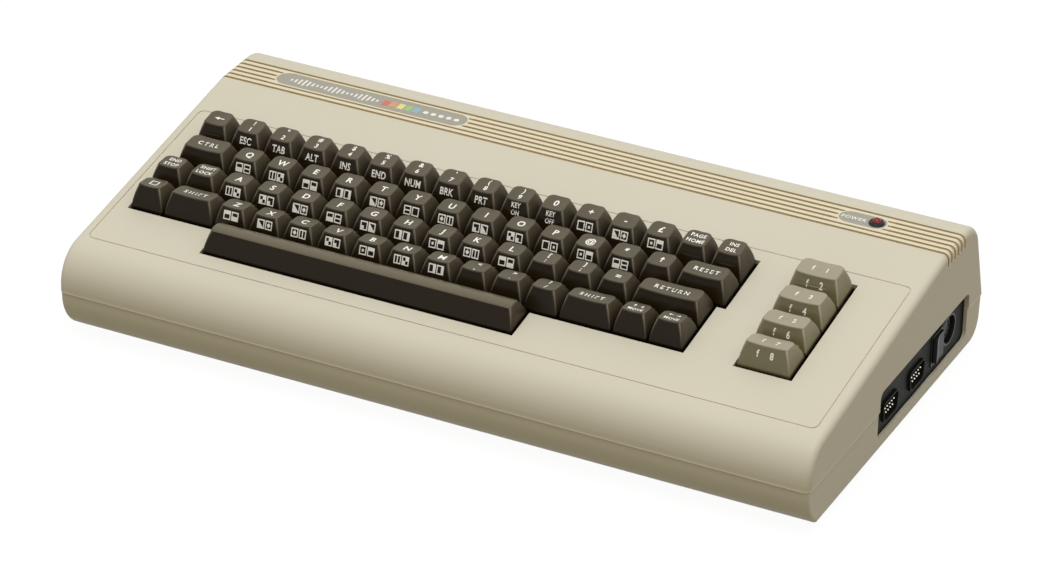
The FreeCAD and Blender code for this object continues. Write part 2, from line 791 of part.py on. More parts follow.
def turned(name, profile, x, y, z):
    """A solid of revolution about an upright axis, from bound radii and heights."""
    body = doc.addObject("PartDesign::Body", name)
    sketch = outline(body, name + "_profile", "XZ_Plane", profile)
    spin = body.newObject("PartDesign::Revolution", name + "_spin")
    spin.Profile = sketch
    spin.ReferenceAxis = (sketch, ["V_Axis"])
    doc.recompute()
    return place(body, x, y, z)


plate_top = "(case_height - badge_recess + badge_thickness)"
PARTS["light_collar"] = turned("light_collar", [
    ("collar_bore", "-collar_depth"), ("collar_neck", "-collar_depth"), ("collar_neck", "0"),
    ("collar_radius", "0"), ("collar_radius", "collar_rise / 3"), ("collar_lip_radius", "collar_rise"),
    ("collar_bore", "collar_rise")], "lamp_x", "badge_y", plate_top)
lamp_dome = doc.addObject("Part::Sphere", "lamp_dome")
bind(lamp_dome, Radius="lamp_radius")
place(lamp_dome, "lamp_x", "badge_y", f"{plate_top} + lamp_rise - lamp_radius")
lamp_low = f"{plate_top} - collar_depth - lamp_flange"
PARTS["power_light"] = fuse("power_light", [
    lamp_dome,
    rod("lamp_body", "lamp_radius", "lamp_rise - lamp_radius + collar_depth + lamp_flange",
        "lamp_x", "badge_y", lamp_low),
    rod("lamp_flange_disc", "lamp_flange_radius", "lamp_flange", "lamp_x", "badge_y", lamp_low),
    rod("lamp_lead_1", "lead_radius", "lead_length", "lamp_x - lead_spacing / 2", "badge_y",
        f"{lamp_low} - lead_length", sides="small_sides"),
    rod("lamp_lead_2", "lead_radius", "lead_length", "lamp_x + lead_spacing / 2", "badge_y",
        f"{lamp_low} - lead_length", sides="small_sides"),
])

# Controller sockets: a tapered metal shell round nine pins, through the dark side panel.
port_tip = "(case_width / 2 - port_sink)"
port_floor = f"({port_tip} - port_recess)"
PIN_ROWS = ((5, 1), (4, -1))


def d_prism(name, y, grow, low, high):
    """A block with the five-sided outline of a D connector, its upper side the longer one."""
    body = doc.addObject("PartDesign::Body", name)
    wide = f"(port_width / 2 + {grow})"
    tall = f"(port_height / 2 + {grow})"
    narrow = f"({wide} - port_taper_share * port_width)"
    block = pad(body, name + "_pad", outline(body, name + "_outline", "YZ_Plane", [
        (f"-{wide}", tall), (f"-{narrow}", f"-{tall}"), (narrow, f"-{tall}"), (wide, tall)], lift=low),
        f"({high}) - ({low})")
    fillet(body, name + "_corners", block, lambda b: b.XLength > size("port_wall") and
           close_to(b.YLength, 0) and close_to(b.ZLength, 0), f"port_corner + {grow}")
    return place(body, 0, y, "port_axis")


port_holes = []
for number, y in enumerate(("port1_y", "port2_y"), start=1):
    port_holes.append(d_prism(f"port_hole_{number}", y, "port_wall + side_clearance",
                              f"{side_face} - side_thickness - side_clearance", "case_width / 2"))
    outside = d_prism(f"port_outer_{number}", y, "port_wall", f"{port_floor} - port_wall", port_tip)
    inside = d_prism(f"port_inner_{number}", y, "0 * port_wall", port_floor, "case_width / 2")
    shell = cut(f"port_shell_{number}", outside, [inside])
    block_top = f"{side_face} - side_thickness - side_clearance"
    block = span(f"port_block_{number}", f"{block_top} - port_body_depth", block_top,
                 f"{y} - port_body_width / 2", f"{y} + port_body_width / 2",
                 "board_top", "port_axis + port_body_height / 2")
    pins = []
    for count, row in PIN_ROWS:
        pins += [rod(f"port_{number}_pin_{count}_{turn}", "pin_radius", "pin_reach + pin_radius",
                     f"{port_floor} - pin_radius", f"{y} + ({turn} - ({count} - 1) / 2) * pin_pitch",
                     f"port_axis + {row} * pin_row / 2", along="x", sides="small_sides")
                 for turn in range(count)]
    PARTS[f"control_port_{number}"] = fuse(f"control_port_{number}", [shell, cut(
        f"port_seat_{number}", block, [d_prism(f"port_room_{number}", y, "0 * port_wall", port_floor,
                                               "case_width / 2")])] + pins)

# Power switch: a rocker on a cross pin in a moulded frame.
switch_back = f"({side_face} - switch_depth)"
switch_lip = f"({side_face} + rocker_sink)"
rocker_x = f"({side_face} - rocker_set_back)"
switch_axis = "(board_top + switch_height / 2)"
frame_block = span("switch_block", switch_back, switch_lip, "switch_y - switch_width / 2",
                   "switch_y + switch_width / 2", "board_top", "board_top + switch_height")
room_half = "(rocker_width / 2 + rocker_gap + (rocker_set_back + rocker_sink) * sin(rocker_throw / 2))"
frame_room = span("switch_room", f"{switch_back} + switch_wall", f"{switch_lip} + overrun",
                  f"switch_y - {room_half}", f"switch_y + {room_half}",
                  f"{switch_axis} - rocker_height / 2 - rocker_gap",
                  f"{switch_axis} + rocker_height / 2 + rocker_gap")
frame_pivot = rod("switch_pivot", "rocker_pin + pin_clearance", "switch_height - switch_wall",
                  rocker_x, "switch_y", f"{switch_axis} - (switch_height - switch_wall) / 2")
PARTS["power_switch"] = cut("power_switch", frame_block, [frame_room, frame_pivot])
ROCKER = [
    ("0", "-rocker_pin - switch_wall"),
    ("rocker_set_back + rocker_sink - rocker_gap", "-rocker_width / 2"),
    ("rocker_set_back + rocker_rise", "-rocker_width / 2"),
    ("rocker_set_back + rocker_rise - rocker_sink", "0"),
    ("rocker_set_back + rocker_rise", "rocker_width / 2"),
    ("rocker_set_back + rocker_sink - rocker_gap", "rocker_width / 2"),
    ("0", "rocker_pin + switch_wall"),
    ("-rocker_pin - switch_wall", "0"),
]
rocker = doc.addObject("PartDesign::Body", "rocker_cap")
rocker_outline = outline(rocker, "rocker_outline", "XY_Plane", ROCKER)
pad(rocker, "rocker_pad", rocker_outline, "rocker_height", midplane=True)
place(rocker, rocker_x, "switch_y", switch_axis, angle="rocker_throw / 2")
pin_length = "(switch_height - switch_wall - 2 * pin_clearance)"
rocker_pins = rod("rocker_pins", "rocker_pin", pin_length, rocker_x, "switch_y",
                  f"{switch_axis} - {pin_length} / 2")
PARTS["power_rocker"] = fuse("power_rocker", [rocker, rocker_pins])


def round_socket(name, x, y, z, along, block):
    """A round socket facing along X or Y: ring, groove and a core with contact holes."""
    def at(reach, across=0, up=0):
        if along == "x":
            return f"({x}) + ({reach})", f"({y}) + ({across})", f"({z}) + ({up})"
        return f"({x}) + ({across})", f"({y}) + ({reach})", f"({z}) + ({up})"
    bore = rod(name + "_bore", "jack_bore", "jack_groove_depth + overrun", *at("-jack_groove_depth"),
               along=along)
    core = rod(name + "_core", "jack_core", "jack_groove_depth - jack_core_sink + switch_wall",
               *at("-jack_groove_depth - switch_wall"), along=along)
    ring = rod(name + "_ring", "jack_radius", "jack_groove_depth + switch_wall",
               *at("-jack_groove_depth - switch_wall"), along=along)
    holes = []
    for number in range(int(size("jack_holes"))):
        angle = f"(jack_start + jack_sweep * {number} / (jack_holes - 1) + {QUARTER_TURN})"
        holes.append(rod(f"{name}_hole_{number}", "jack_hole_radius", "jack_hole_depth + overrun",
                         *at("-jack_core_sink - jack_hole_depth", f"jack_hole_circle * sin({angle})",
                             f"jack_hole_circle * cos({angle})"), along=along, sides="small_sides"))
    mouth = cut(name + "_mouth", fuse(name + "_body", [block, ring]), [bore])
    return fuse(name, [mouth, cut(name + "_insert", core, holes)])


PARTS["power_socket"] = round_socket(
    "power_socket", side_face, "jack_y", "jack_axis", "x",
    span("power_socket_block", f"{side_face} - jack_depth", f"{side_face} - side_thickness - side_clearance",
         "jack_y - din_width / 2", "jack_y + din_width / 2", "board_top", "board_top + din_height"))

# The dark panel behind the side opening, with a hole for each socket.
side_blank = span("side_blank", f"{side_face} - side_thickness", side_face, "-side_front - side_overlap",
                  "side_rear + side_overlap", "side_low - side_overlap", "side_high + side_overlap")
PARTS["side_panel"] = cut("side_panel", side_blank, port_holes + [
    span("switch_hole", f"{side_face} - side_thickness - overrun", f"{side_face} + overrun",
         "switch_y - switch_width / 2 - badge_gap", "switch_y + switch_width / 2 + badge_gap",
         "board_top - badge_gap", "board_top + switch_height + badge_gap"),
    rod("jack_hole", "jack_radius + badge_gap", "side_thickness + 2 * overrun",
        f"{side_face} - side_thickness - overrun", "jack_y", "jack_axis", along="x")])

# Main board: two edge connectors are tongues of the board itself.
board = span("board_blank", "-board_left", "board_right", "-board_front", "board_rear",
             "board_top - board_thickness", "board_top")
TONGUES = [("cassette", "cassette_x", "cassette_width"), ("user", "user_x", "user_width")]
tongues = [span(name + "_tongue", f"{x} - {width} / 2", f"{x} + {width} / 2", "board_rear - overrun",
                "board_rear + edge_reach", "board_top - board_thickness", "board_top")
           for name, x, width in TONGUES]
PARTS["main_board"] = fuse("main_board", [board] + tongues)

slot_low = "(board_top + cartridge_height / 2 - cartridge_slot_height / 2)"
slot_block = span("slot_block", "cartridge_x - cartridge_width / 2", "cartridge_x + cartridge_width / 2",
                  "rear_face - cartridge_depth", "rear_face", "board_top", "board_top + cartridge_height")
slot_room = span("slot_room", "cartridge_x - cartridge_slot / 2", "cartridge_x + cartridge_slot / 2",
                 "rear_face - cartridge_slot_depth", "rear_face + overrun", slot_low,
                 f"{slot_low} + cartridge_slot_height")
PARTS["cartridge_slot"] = cut("cartridge_slot", slot_block, [slot_room])

# Modulator can with its aerial stub and channel slider.
can_back, can_left = "(rear_face - modulator_depth)", "(modulator_x - modulator_width / 2)"
can_right, can_top = "(modulator_x + modulator_width / 2)", "(board_top + modulator_height)"
slider_z = "(board_top + modulator_height / 2)"
modulator_can = span("modulator_can", can_left, can_right, can_back, "rear_face", "board_top", can_top)
modulator_room = span("modulator_room", f"{can_left} + modulator_wall", f"{can_right} - modulator_wall",
                      f"{can_back} + modulator_wall", "rear_face - modulator_wall",
                      "board_top + modulator_wall", f"{can_top} - modulator_wall")
slider_slot = span("slider_slot", "slider_x - (slider_size + slider_travel) / 2 - slider_clearance",
                   "slider_x + (slider_size + slider_travel) / 2 + slider_clearance",
                   "rear_face - 2 * modulator_wall", "rear_face + overrun",
                   f"{slider_z} - slider_size / 2 - slider_clearance",
                   f"{slider_z} + slider_size / 2 + slider_clearance")
stub = rod("jack_stub", "jack_stub_radius", "jack_stub_length + modulator_wall", "jack_stub_x",
           "rear_face - modulator_wall", slider_z, along="y")
stub_bore = rod("jack_stub_bore_tool", "jack_stub_bore", "jack_stub_length + modulator_wall + overrun",
                "jack_stub_x", "rear_face - modulator_wall", slider_z, along="y")
modulator_skin = cut("modulator_skin", modulator_can, [modulator_room])
PARTS["modulator"] = cut("modulator", fuse("modulator_shell", [modulator_skin, stub]),
                         [slider_slot, stub_bore])
knob = span("slider_knob", "slider_x - slider_size / 2", "slider_x + slider_size / 2",
            "rear_face - modulator_wall - slider_clearance", "rear_face + slider_rise",
            f"{slider_z} - slider_size / 2", f"{slider_z} + slider_size / 2")
flange = span("slider_plate", "slider_x - slider_flange / 2", "slider_x + slider_flange / 2",
              "rear_face - 2 * modulator_wall - slider_clearance",
              "rear_face - modulator_wall - slider_clearance",
              f"{slider_z} - slider_size", f"{slider_z} + slider_size")
PARTS["channel_slider"] = fuse("channel_slider", [knob, flange])

for name, x in (("monitor_socket", "monitor_x"), ("serial_socket", "serial_x")):
    socket_block = span(name + "_block", f"{x} - din_width / 2", f"{x} + din_width / 2",
                        "rear_face - jack_depth", "rear_face", "board_top", "board_top + din_height")
    PARTS[name] = round_socket(name, x, "rear_face", "board_top + din_height / 2", "y", socket_block)

# Parts on the main board, seen only when the housing is open.
shield = span("shield_block", "can_x - can_width / 2", "can_x + can_width / 2", "can_y - can_depth / 2",
              "can_y + can_depth / 2", "board_top", "board_top + can_height")
PARTS["screen_can"] = cut("screen_can", shield, [
    span("shield_room", "can_x - can_width / 2 + can_wall", "can_x + can_width / 2 - can_wall",
         "can_y - can_depth / 2 + can_wall", "can_y + can_depth / 2 - can_wall",
         "board_top - overrun", "board_top + can_height - can_wall")])
CHIP_SHARES = [(0.10, 0.30, 0.14), (0.10, 0.62, 0.14), (0.26, 0.30, 0.14), (0.26, 0.62, 0.14),
               (0.60, 0.20, 0.14), (0.66, 0.42, 0.10), (0.82, 0.42, 0.07), (0.82, 0.62, 0.07)]
chips = []
for number, (x_share, y_share, length_share) in enumerate(CHIP_SHARES, start=1):
    length = f"({length_share} * (board_left + board_right))"
    x = f"(-board_left + {x_share} * (board_left + board_right))"
    y = f"(-board_front + {y_share} * (board_front + board_rear))"
    chips.append(fuse(f"chip_{number}", [
        span(f"chip_body_{number}", f"{x} - {length} / 2", f"{x} + {length} / 2", f"{y} - chip_width / 2",
             f"{y} + chip_width / 2", "board_top + chip_lift", "board_top + chip_lift + chip_height"),
        span(f"chip_legs_front_{number}", f"{x} - {length} / 2 + chip_leg", f"{x} + {length} / 2 - chip_leg",
             f"{y} - chip_width / 2 - chip_leg", f"{y} - chip_width / 2", "board_top",
             "board_top + chip_lift + chip_height / 2"),
        span(f"chip_legs_rear_{number}", f"{x} - {length} / 2 + chip_leg", f"{x} + {length} / 2 - chip_leg",
             f"{y} + chip_width / 2", f"{y} + chip_width / 2 + chip_leg", "board_top",
             "board_top + chip_lift + chip_height / 2")]))
PARTS["logic_chips"] = group("logic_chips", chips)
CAPACITOR_SHARES = [(0.70, 0.15), (0.74, 0.15), (0.52, 0.85), (0.88, 0.55)]
PARTS["capacitors"] = group("capacitors", [
    rod(f"capacitor_{number}", "capacitor_radius", "capacitor_height",
        f"-board_left + {x_share} * (board_left + board_right)",
        f"-board_front + {y_share} * (board_front + board_rear)", "board_top")
    for number, (x_share, y_share) in enumerate(CAPACITOR_SHARES, start=1)])
fins = doc.addObject("PartDesign::Body", "cooling_fins")
FIN = [("-sink_width / 2", "0"), ("-sink_width / 2 + sink_fin", "0"),
       ("-sink_width / 2 + sink_fin", "sink_height"), ("-sink_width / 2", "sink_height")]
fin = pad(fins, "fin", outline(fins, "fin_outline", "XZ_Plane", FIN), "sink_depth", midplane=True)
fin_row = fins.newObject("PartDesign::LinearPattern", "fin_row")
fin_row.Originals = [fin]
fin_row.Direction = (plane(fins, "X_Axis"), [""])
bind(fin_row, Length="sink_width - sink_fin", Occurrences="sink_fins")
fins.Tip = fin_row
place(fins, "sink_x", "sink_y", "board_top")
PARTS["heat_sink"] = fuse("heat_sink", [fins, span(
    "sink_plate", "sink_x - sink_width / 2", "sink_x + sink_width / 2", "sink_y - sink_depth / 2",
    "sink_y + sink_depth / 2", "board_top", "board_top + sink_fin")])

# Keyboard. Everything here is drawn flat on the deck and lifted to its slope at the end.
pitch = size("key_pitch")
row_pitch = size("row_pitch")
drop = size("cap_drop")
half_gap = size("key_gap / 2")
carrier_top = -size("carrier_drop")


def frustum(x0, x1, y0, y1, low, high, lean):
    """A block whose flat sides lean in by a share of their height: left, right, front, rear."""
    left, right, front, rear = (share * (high - low) for share in lean)
    block = Part.makeWedge(x0, low, -y1, rear - y1, x0 + left, x1, high, -y0, -y0 - front, x1 - right)
    return block.rotated(Vector(), Vector(1, 0, 0), QUARTER_TURN)


def ease_corners(shape, front, rear):
    """Takes a flat off the four edges that climb the sides of a block, wider at the rear."""
    climbing = [edge for edge in shape.Edges if edge.BoundBox.ZLength > drop * 2]
    middle = shape.BoundBox.Center.y
    shape = shape.makeChamfer(front, [edge for edge in climbing if edge.BoundBox.Center.y < middle])
    climbing = [edge for edge in shape.Edges if edge.BoundBox.ZLength > drop * 2]
    back = shape.BoundBox.YMax - drop
    return shape.makeChamfer(rear, [edge for edge in climbing if edge.BoundBox.YMax > back])


@functools.lru_cache(maxsize=None)
def cap(width, row, insets=None):
    """One hollow key cap with its plunger: leaning sides, rounded corners and a dished top."""
    x0, x1 = half_gap, width - half_gap
    y0 = row_front(row) + half_gap
    y1 = y0 + row_pitch - 2 * half_gap
    front, tilt = size(f"row{row}_front"), math.radians(size(f"row{row}_tilt"))
    top_depth, front_inset = size("cap_top_depth"), size(f"row{row}_inset")
    rear = front + top_depth * math.tan(tilt)
    rear_inset = y1 - y0 - top_depth - front_inset
    side_insets = insets or (size("cap_side_inset"), size("cap_side_inset"))
    middle = (front + rear) / 2 + drop
    lean = (side_insets[0] / middle, side_insets[1] / middle,
            front_inset / (front + drop), rear_inset / (rear + drop))
    shape = ease_corners(frustum(x0, x1, y0, y1, -drop, size("cap_peak"), lean),
                         size("cap_front_corner"), size("cap_rear_corner"))
    chord, sag = (x1 - x0 - sum(side_insets)) / 2, size("dish_depth")
    radius = (chord ** 2 + sag ** 2) / (2 * sag)
    along, up = Vector(0, math.cos(tilt), math.sin(tilt)), Vector(0, -math.sin(tilt), math.cos(tilt))
    start = Vector((x0 + side_insets[0] + x1 - side_insets[1]) / 2, y0 + front_inset, front)
    start = start + up * (radius - sag) - along * pitch
    shape = shape.cut(Part.makeCylinder(radius, 3 * pitch, start, along))
    roof = min(front, rear) - sag - size("cap_roof")
    return hollow_cap(shape, (x0, x1, y0, y1), lean, roof, [((x0 + x1) / 2, (y0 + y1) / 2)])


def hollow_cap(shape, foot, lean, roof, plungers):
    """Empties a cap from below and hangs its plungers in it."""
    wall, reach, square = size("cap_wall"), size("plunger_reach"), size("plunger_size")
    x0, x1, y0, y1 = foot
    shape = shape.cut(frustum(x0 + wall, x1 - wall, y0 + wall, y1 - wall, -drop, roof, lean))
    for x, y in plungers:
        shape = shape.fuse(Part.makeBox(square, square, reach + roof + wall / 2,
                                        Vector(x - square / 2, y - square / 2, -reach)))
    return shape


def row_front(row):
    return -size("keys_front") + (size("key_rows") - row) * row_pitch


def set_key(left, width, row, insets=None):
    """A key moved to its left edge, with its guide hole noted."""
    guides.append((left + width / 2, row_front(row) + row_pitch / 2))
    return Part.makeCompound([cap(width, row, insets).translated(Vector(left, 0, 0))])


def key(left_share, width_share, row):
    """A key placed by its left edge and width in key pitches."""
    stagger = 0 if row < 3 else size("row_stagger_share")
    return set_key(-size("key_left") + (left_share - stagger) * pitch, width_share * pitch, row)


guides = []
# Typing keys share one slide for each finger column: top row first, then the rows below it.
COLUMN_START_SHARES = {1: 1, 2: 1.5, 3: 2, 4: 2.5}
COLUMN_COUNTS = {1: 13, 2: 13, 3: 12, 4: 10}
for number in range(1, COLUMN_COUNTS[1] + 1):
    caps = [key(start + number - 1, 1, row)
            for row, start in COLUMN_START_SHARES.items() if number <= COLUMN_COUNTS[row]]
    PARTS[f"key_column_{number:02d}"] = on_deck(solid(f"key_column_{number:02d}", Part.makeCompound(caps)))

# Single keys: left edge and width in shares of the key pitch, and the row.
SINGLE_KEY_SHARES = {
    "top_left_key": (0, 1, 1),
    "home_key": (14, 1, 1),
    "delete_key": (15, 1, 1),
    "control_key": (0, 1.5, 2),
    "upper_right_key": (14.5, 1.5, 2),
    "stop_key": (0, 1, 3),
    "shift_lock_key": (1, 1, 3),
    "return_key": (14, 2, 3),
    "emblem_key": (0, 1, 4),
    "left_shift_key": (1, 1.5, 4),
    "right_shift_key": (12.5, 1.5, 4),
    "down_cursor_key": (14, 1, 4),
    "right_cursor_key": (15, 1, 4),
}
for name, place_and_size in SINGLE_KEY_SHARES.items():
    PARTS[name] = on_deck(solid(name, key(*place_and_size)))
for number in COLUMN_COUNTS:
    name = f"function_key_{number}"
    insets = (size("function_left_inset"), size("function_right_inset"))
    PARTS[name] = on_deck(solid(name, set_key(size("function_left"), size("function_width"), number, insets)))

# Space bar: a crowned bar on one plunger, kept level by a wire in two hanging lugs.
bar_left = size(space_left) + half_gap
bar_right = size(space_right) - half_gap
bar_front = row_front(4) - row_pitch + half_gap
bar_rear = row_front(4) - half_gap
bar_tilt = math.radians(size("space_tilt"))
bar_depth = bar_rear - bar_front - size("space_front_inset + space_rear_inset")
bar_rise = size("space_front")
bar_fall = bar_rise + bar_depth * math.tan(bar_tilt)
bar_lean = (size("space_end_inset") / (bar_rise + drop), size("space_end_inset") / (bar_rise + drop),
            size("space_front_inset") / (bar_rise + drop), size("space_rear_inset") / (bar_fall + drop))
bar = ease_corners(frustum(bar_left, bar_right, bar_front, bar_rear, -drop, size("cap_peak"), bar_lean),
                   size("space_corner"), size("space_corner"))
half_chord, crown = bar_depth / math.cos(bar_tilt) / 2, size("space_crown")
crown_radius = (half_chord ** 2 + crown ** 2) / (2 * crown)
crown_middle = Vector(bar_left - pitch, bar_front + size("space_front_inset") + bar_depth / 2,
                      (bar_rise + bar_fall) / 2)
crown_centre = crown_middle - Vector(0, -math.sin(bar_tilt), math.cos(bar_tilt)) * (crown_radius - crown)
crown_length = bar_right - bar_left + 2 * pitch
bar = bar.common(Part.makeCylinder(crown_radius, crown_length, crown_centre, Vector(1, 0, 0)))
bar_middle = (bar_left + bar_right) / 2
guides.append((bar_middle, (bar_front + bar_rear) / 2))
bar_roof = min(bar_rise, bar_fall) - size("cap_roof")
bar = hollow_cap(bar, (bar_left, bar_right, bar_front, bar_rear), bar_lean, bar_roof,
                 [(bar_middle, (bar_front + bar_rear) / 2)])
wire_radius, arm = size("wire_radius"), size("wire_arm")
wire_y = bar_front + size("wire_set_back")
wire_z = carrier_top + size("wire_lift")
arm_angle = math.asin(size("key_travel") / 2 / arm)
tip_y, tip_z = wire_y + arm * math.cos(arm_angle), wire_z + size("key_travel") / 2
slack, fit = size("wire_slack"), size("wire_clearance")
lug, lug_wall = size("clip_thickness"), size("clip_wall")
half_span = size("wire_span") / 2
for side in (-1, 1):
    lug_x = bar_middle + side * (half_span + wire_radius + slack) - (lug if side < 0 else 0)
    lug_half = wire_radius + slack + lug_wall
    lug_low = tip_z - wire_radius - fit - lug_wall
    bar = bar.fuse(Part.makeBox(lug, 2 * lug_half, bar_roof + lug_wall - lug_low,
                                Vector(lug_x, tip_y - lug_half, lug_low)))
    bar = bar.cut(Part.makeBox(lug + 2 * slack, 2 * (wire_radius + slack), 2 * (wire_radius + fit),
                               Vector(lug_x - slack, tip_y - wire_radius - slack, tip_z - wire_radius - fit)))
PARTS["space_bar"] = on_deck(solid("space_bar", bar.removeSplitter()))

wire_path = []
for side in (-1, 1):
    corner = Vector(bar_middle + side * half_span, wire_y, wire_z)
    tip = Vector(corner.x, tip_y, tip_z)
    end = tip + Vector(side * (lug + 2 * slack + wire_radius), 0, 0)
    wire_path += [end, tip, corner] if side < 0 else [corner, tip, end]
wire_ring = Part.Wire(Part.makeCircle(wire_radius, wire_path[0], Vector(1, 0, 0)))
square_bends = 1
wire_shape = Part.Wire(Part.makePolygon(wire_path)).makePipeShell([wire_ring], True, False, square_bends)
PARTS["stabilizer_wire"] = on_deck(solid("stabilizer_wire", Part.makeCompound([wire_shape])))

# Carrier: a plate with a guide hole for each plunger, skirt walls below and clips for the wire.
carrier_low = "(-carrier_drop - carrier_plate - carrier_skirt)"
carrier_block = span("carrier_block", "-carrier_left", "carrier_right", "-carrier_front", "carrier_rear",
                     carrier_low, "-carrier_drop")
carrier_room = span("carrier_room", "-carrier_left + carrier_wall", "carrier_right - carrier_wall",
                    "-carrier_front + carrier_wall", "carrier_rear - carrier_wall",
                    f"{carrier_low} - overrun", "-carrier_drop - carrier_plate")
hole = size("plunger_size / 2 + guide_clearance")
guide_low = carrier_top - size("carrier_plate + overrun")
guide_holes = solid("guide_holes", Part.makeCompound([
    Part.makeBox(2 * hole, 2 * hole, size("carrier_plate + 2 * overrun"),
                 Vector(x - hole, y - hole, guide_low)) for x, y in guides]))
clips = []
for side in (-1, 1):
    clip_x = bar_middle + side * (half_span - 2 * lug) - lug / 2
    clip_half = wire_radius + lug_wall
    clip = Part.makeBox(lug, 2 * clip_half, wire_z + clip_half - carrier_top,
                        Vector(clip_x, wire_y - clip_half, carrier_top))
    clip_start = Vector(clip_x - slack, wire_y, wire_z)
    clips.append(clip.cut(Part.makeCylinder(wire_radius + fit, lug + 2 * slack, clip_start, Vector(1, 0, 0))))
wire_clips = solid("wire_clips", Part.makeCompound(clips))
PARTS["keyboard_frame"] = on_deck(fuse("keyboard_frame", [
    cut("carrier_shell", carrier_block, [carrier_room, guide_holes]), wire_clips]))
matrix_board = span("matrix_board", "-carrier_left", "carrier_right", "-carrier_front", "carrier_rear",
                    f"{carrier_low} - matrix_thickness", carrier_low)
PARTS["keyboard_board"] = on_deck(group("keyboard_board", [matrix_board]))

for name, item in PARTS.items():
    item.Label = name
doc.recompute()
for item in doc.Objects:
    if "Invalid" in item.State or "Error" in item.State:
        raise RuntimeError(f"{item.Label} did not build: {item.State}")
for name, item in PARTS.items():
    if item.Shape.isNull() or not item.Shape.isValid():
        raise RuntimeError(f"{name} is not a valid solid")
os.makedirs("parts", exist_ok=True)
for name, item in PARTS.items():
    item.Shape.exportStep(f"parts/{name}.step")
    print(name, len(item.Shape.Solids), round(item.Shape.Volume))
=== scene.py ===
import math

import bmesh
import bpy
from mathutils import Matrix, Vector


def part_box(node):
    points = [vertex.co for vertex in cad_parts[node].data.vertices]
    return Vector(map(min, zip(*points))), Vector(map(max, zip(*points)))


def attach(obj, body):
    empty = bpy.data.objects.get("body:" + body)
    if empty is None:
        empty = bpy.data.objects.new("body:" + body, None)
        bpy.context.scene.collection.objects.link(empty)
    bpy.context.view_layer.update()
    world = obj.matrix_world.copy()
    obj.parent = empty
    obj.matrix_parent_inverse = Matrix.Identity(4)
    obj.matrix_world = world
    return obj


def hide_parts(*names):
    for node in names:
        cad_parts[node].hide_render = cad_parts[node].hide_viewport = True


# A home computer with its keyboard in one wedge-shaped housing. Metres, in the frame of the construction.
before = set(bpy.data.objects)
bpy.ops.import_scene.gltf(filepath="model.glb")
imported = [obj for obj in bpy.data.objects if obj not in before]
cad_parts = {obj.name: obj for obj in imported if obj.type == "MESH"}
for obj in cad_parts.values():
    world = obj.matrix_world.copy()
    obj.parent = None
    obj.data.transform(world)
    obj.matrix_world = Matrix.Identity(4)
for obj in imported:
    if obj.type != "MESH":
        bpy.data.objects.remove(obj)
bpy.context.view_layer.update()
MM = 0.001

# Housing: upper and lower shell, injection-moulded in putty ABS and screwed together from below.
# The mould was spark-eroded, so the skin has a fine pebble that turns gloss into a soft, even sheen.


def linear(colour):
    """An sRGB hex colour as the linear values that a shader takes."""
    parts = [int(colour[place:place + 2], 16) / 255 for place in (1, 3, 5)]
    return [part / 12.92 if part <= 0.04045 else ((part + 0.055) / 1.055) ** 2.4 for part in parts] + [1]


def new_material(name):
    material = bpy.data.materials.new(name)
    material.use_nodes = True
    material.node_tree.nodes.clear()
    return material, material.node_tree


def add(tree, kind, sockets=None, **settings):
    """Adds a node with its settings. A socket takes a plain value or another node's output."""
    made = tree.nodes.new(kind)
    for name, value in settings.items():
        setattr(made, name, value)
    for name, value in (sockets or {}).items():
        if isinstance(value, bpy.types.NodeSocket):
            tree.links.new(value, made.inputs[name])
        else:
            made.inputs[name].default_value = value
    return made


def close_material(tree, shader):
    add(tree, "ShaderNodeOutputMaterial", {"Surface": shader.outputs[0]})


def moulded(name, colour, shade, roughness, pebble, relief, ior=1.53, patch=70 * MM, sheen=0.03,
            specular=0.5, paint=None):
    """Moulded plastic: two close tones in broad patches, an eroded skin and the sheen that it gives."""
    material, tree = new_material(name)
    place = add(tree, "ShaderNodeTexCoord").outputs["Object"]
    patches = add(tree, "ShaderNodeTexNoise", {"Vector": place, "Scale": 1 / patch, "Detail": 3.0})
    skin = add(tree, "ShaderNodeTexNoise", {"Vector": place, "Scale": 1 / pebble, "Detail": 2.0})
    tone = add(tree, "ShaderNodeMix", {0: patches.outputs["Fac"], 6: linear(colour), 7: linear(shade)},
               data_type="RGBA")
    gloss = add(tree, "ShaderNodeMapRange", {"Value": skin.outputs["Fac"], "From Min": 0.3, "From Max": 0.7,
                                             "To Min": roughness - sheen, "To Max": roughness + sheen})
    bump = add(tree, "ShaderNodeBump", {"Height": skin.outputs["Fac"], "Distance": relief, "Strength": 1.0})
    base = paint(tree, place, tone.outputs[2]) if paint else tone.outputs[2]
    shader = add(tree, "ShaderNodeBsdfPrincipled", {
        "Base Color": base, "Roughness": gloss.outputs[0], "IOR": ior, "Specular IOR Level": specular,
        "Normal": bump.outputs[0]})
    close_material(tree, shader)
    return material


def dress(material, *names):
    """Gives nodes of the construction their finish."""
    for name in names:
        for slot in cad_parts[name].material_slots:
            slot.material = material


# The six grooves across the top carry painted shade, and the ribs between them are painted paler and
# yellower.
# Both are coloured by their place: across the top, down to where the grooves stop, and clear of the plates.
GROOVE_FIRST = 55.6 * MM
GROOVE_PITCH = 4.23 * MM
GROOVE_WIDTH = 2.1 * MM
GROOVES = 6
TOP_HEIGHT = 73 * MM
GROOVE_LOWEST = 66 * MM
PLATE_ZONES = ((-178.5 * MM, -65.5 * MM), (137.5 * MM, 167.5 * MM))
PLATE_DEPTH = (60 * MM, 75.8 * MM)
SEAM = 26 * MM
SEAM_EDGE = 0.7 * MM
GROOVE_FLOOR = TOP_HEIGHT - 0.2 * MM


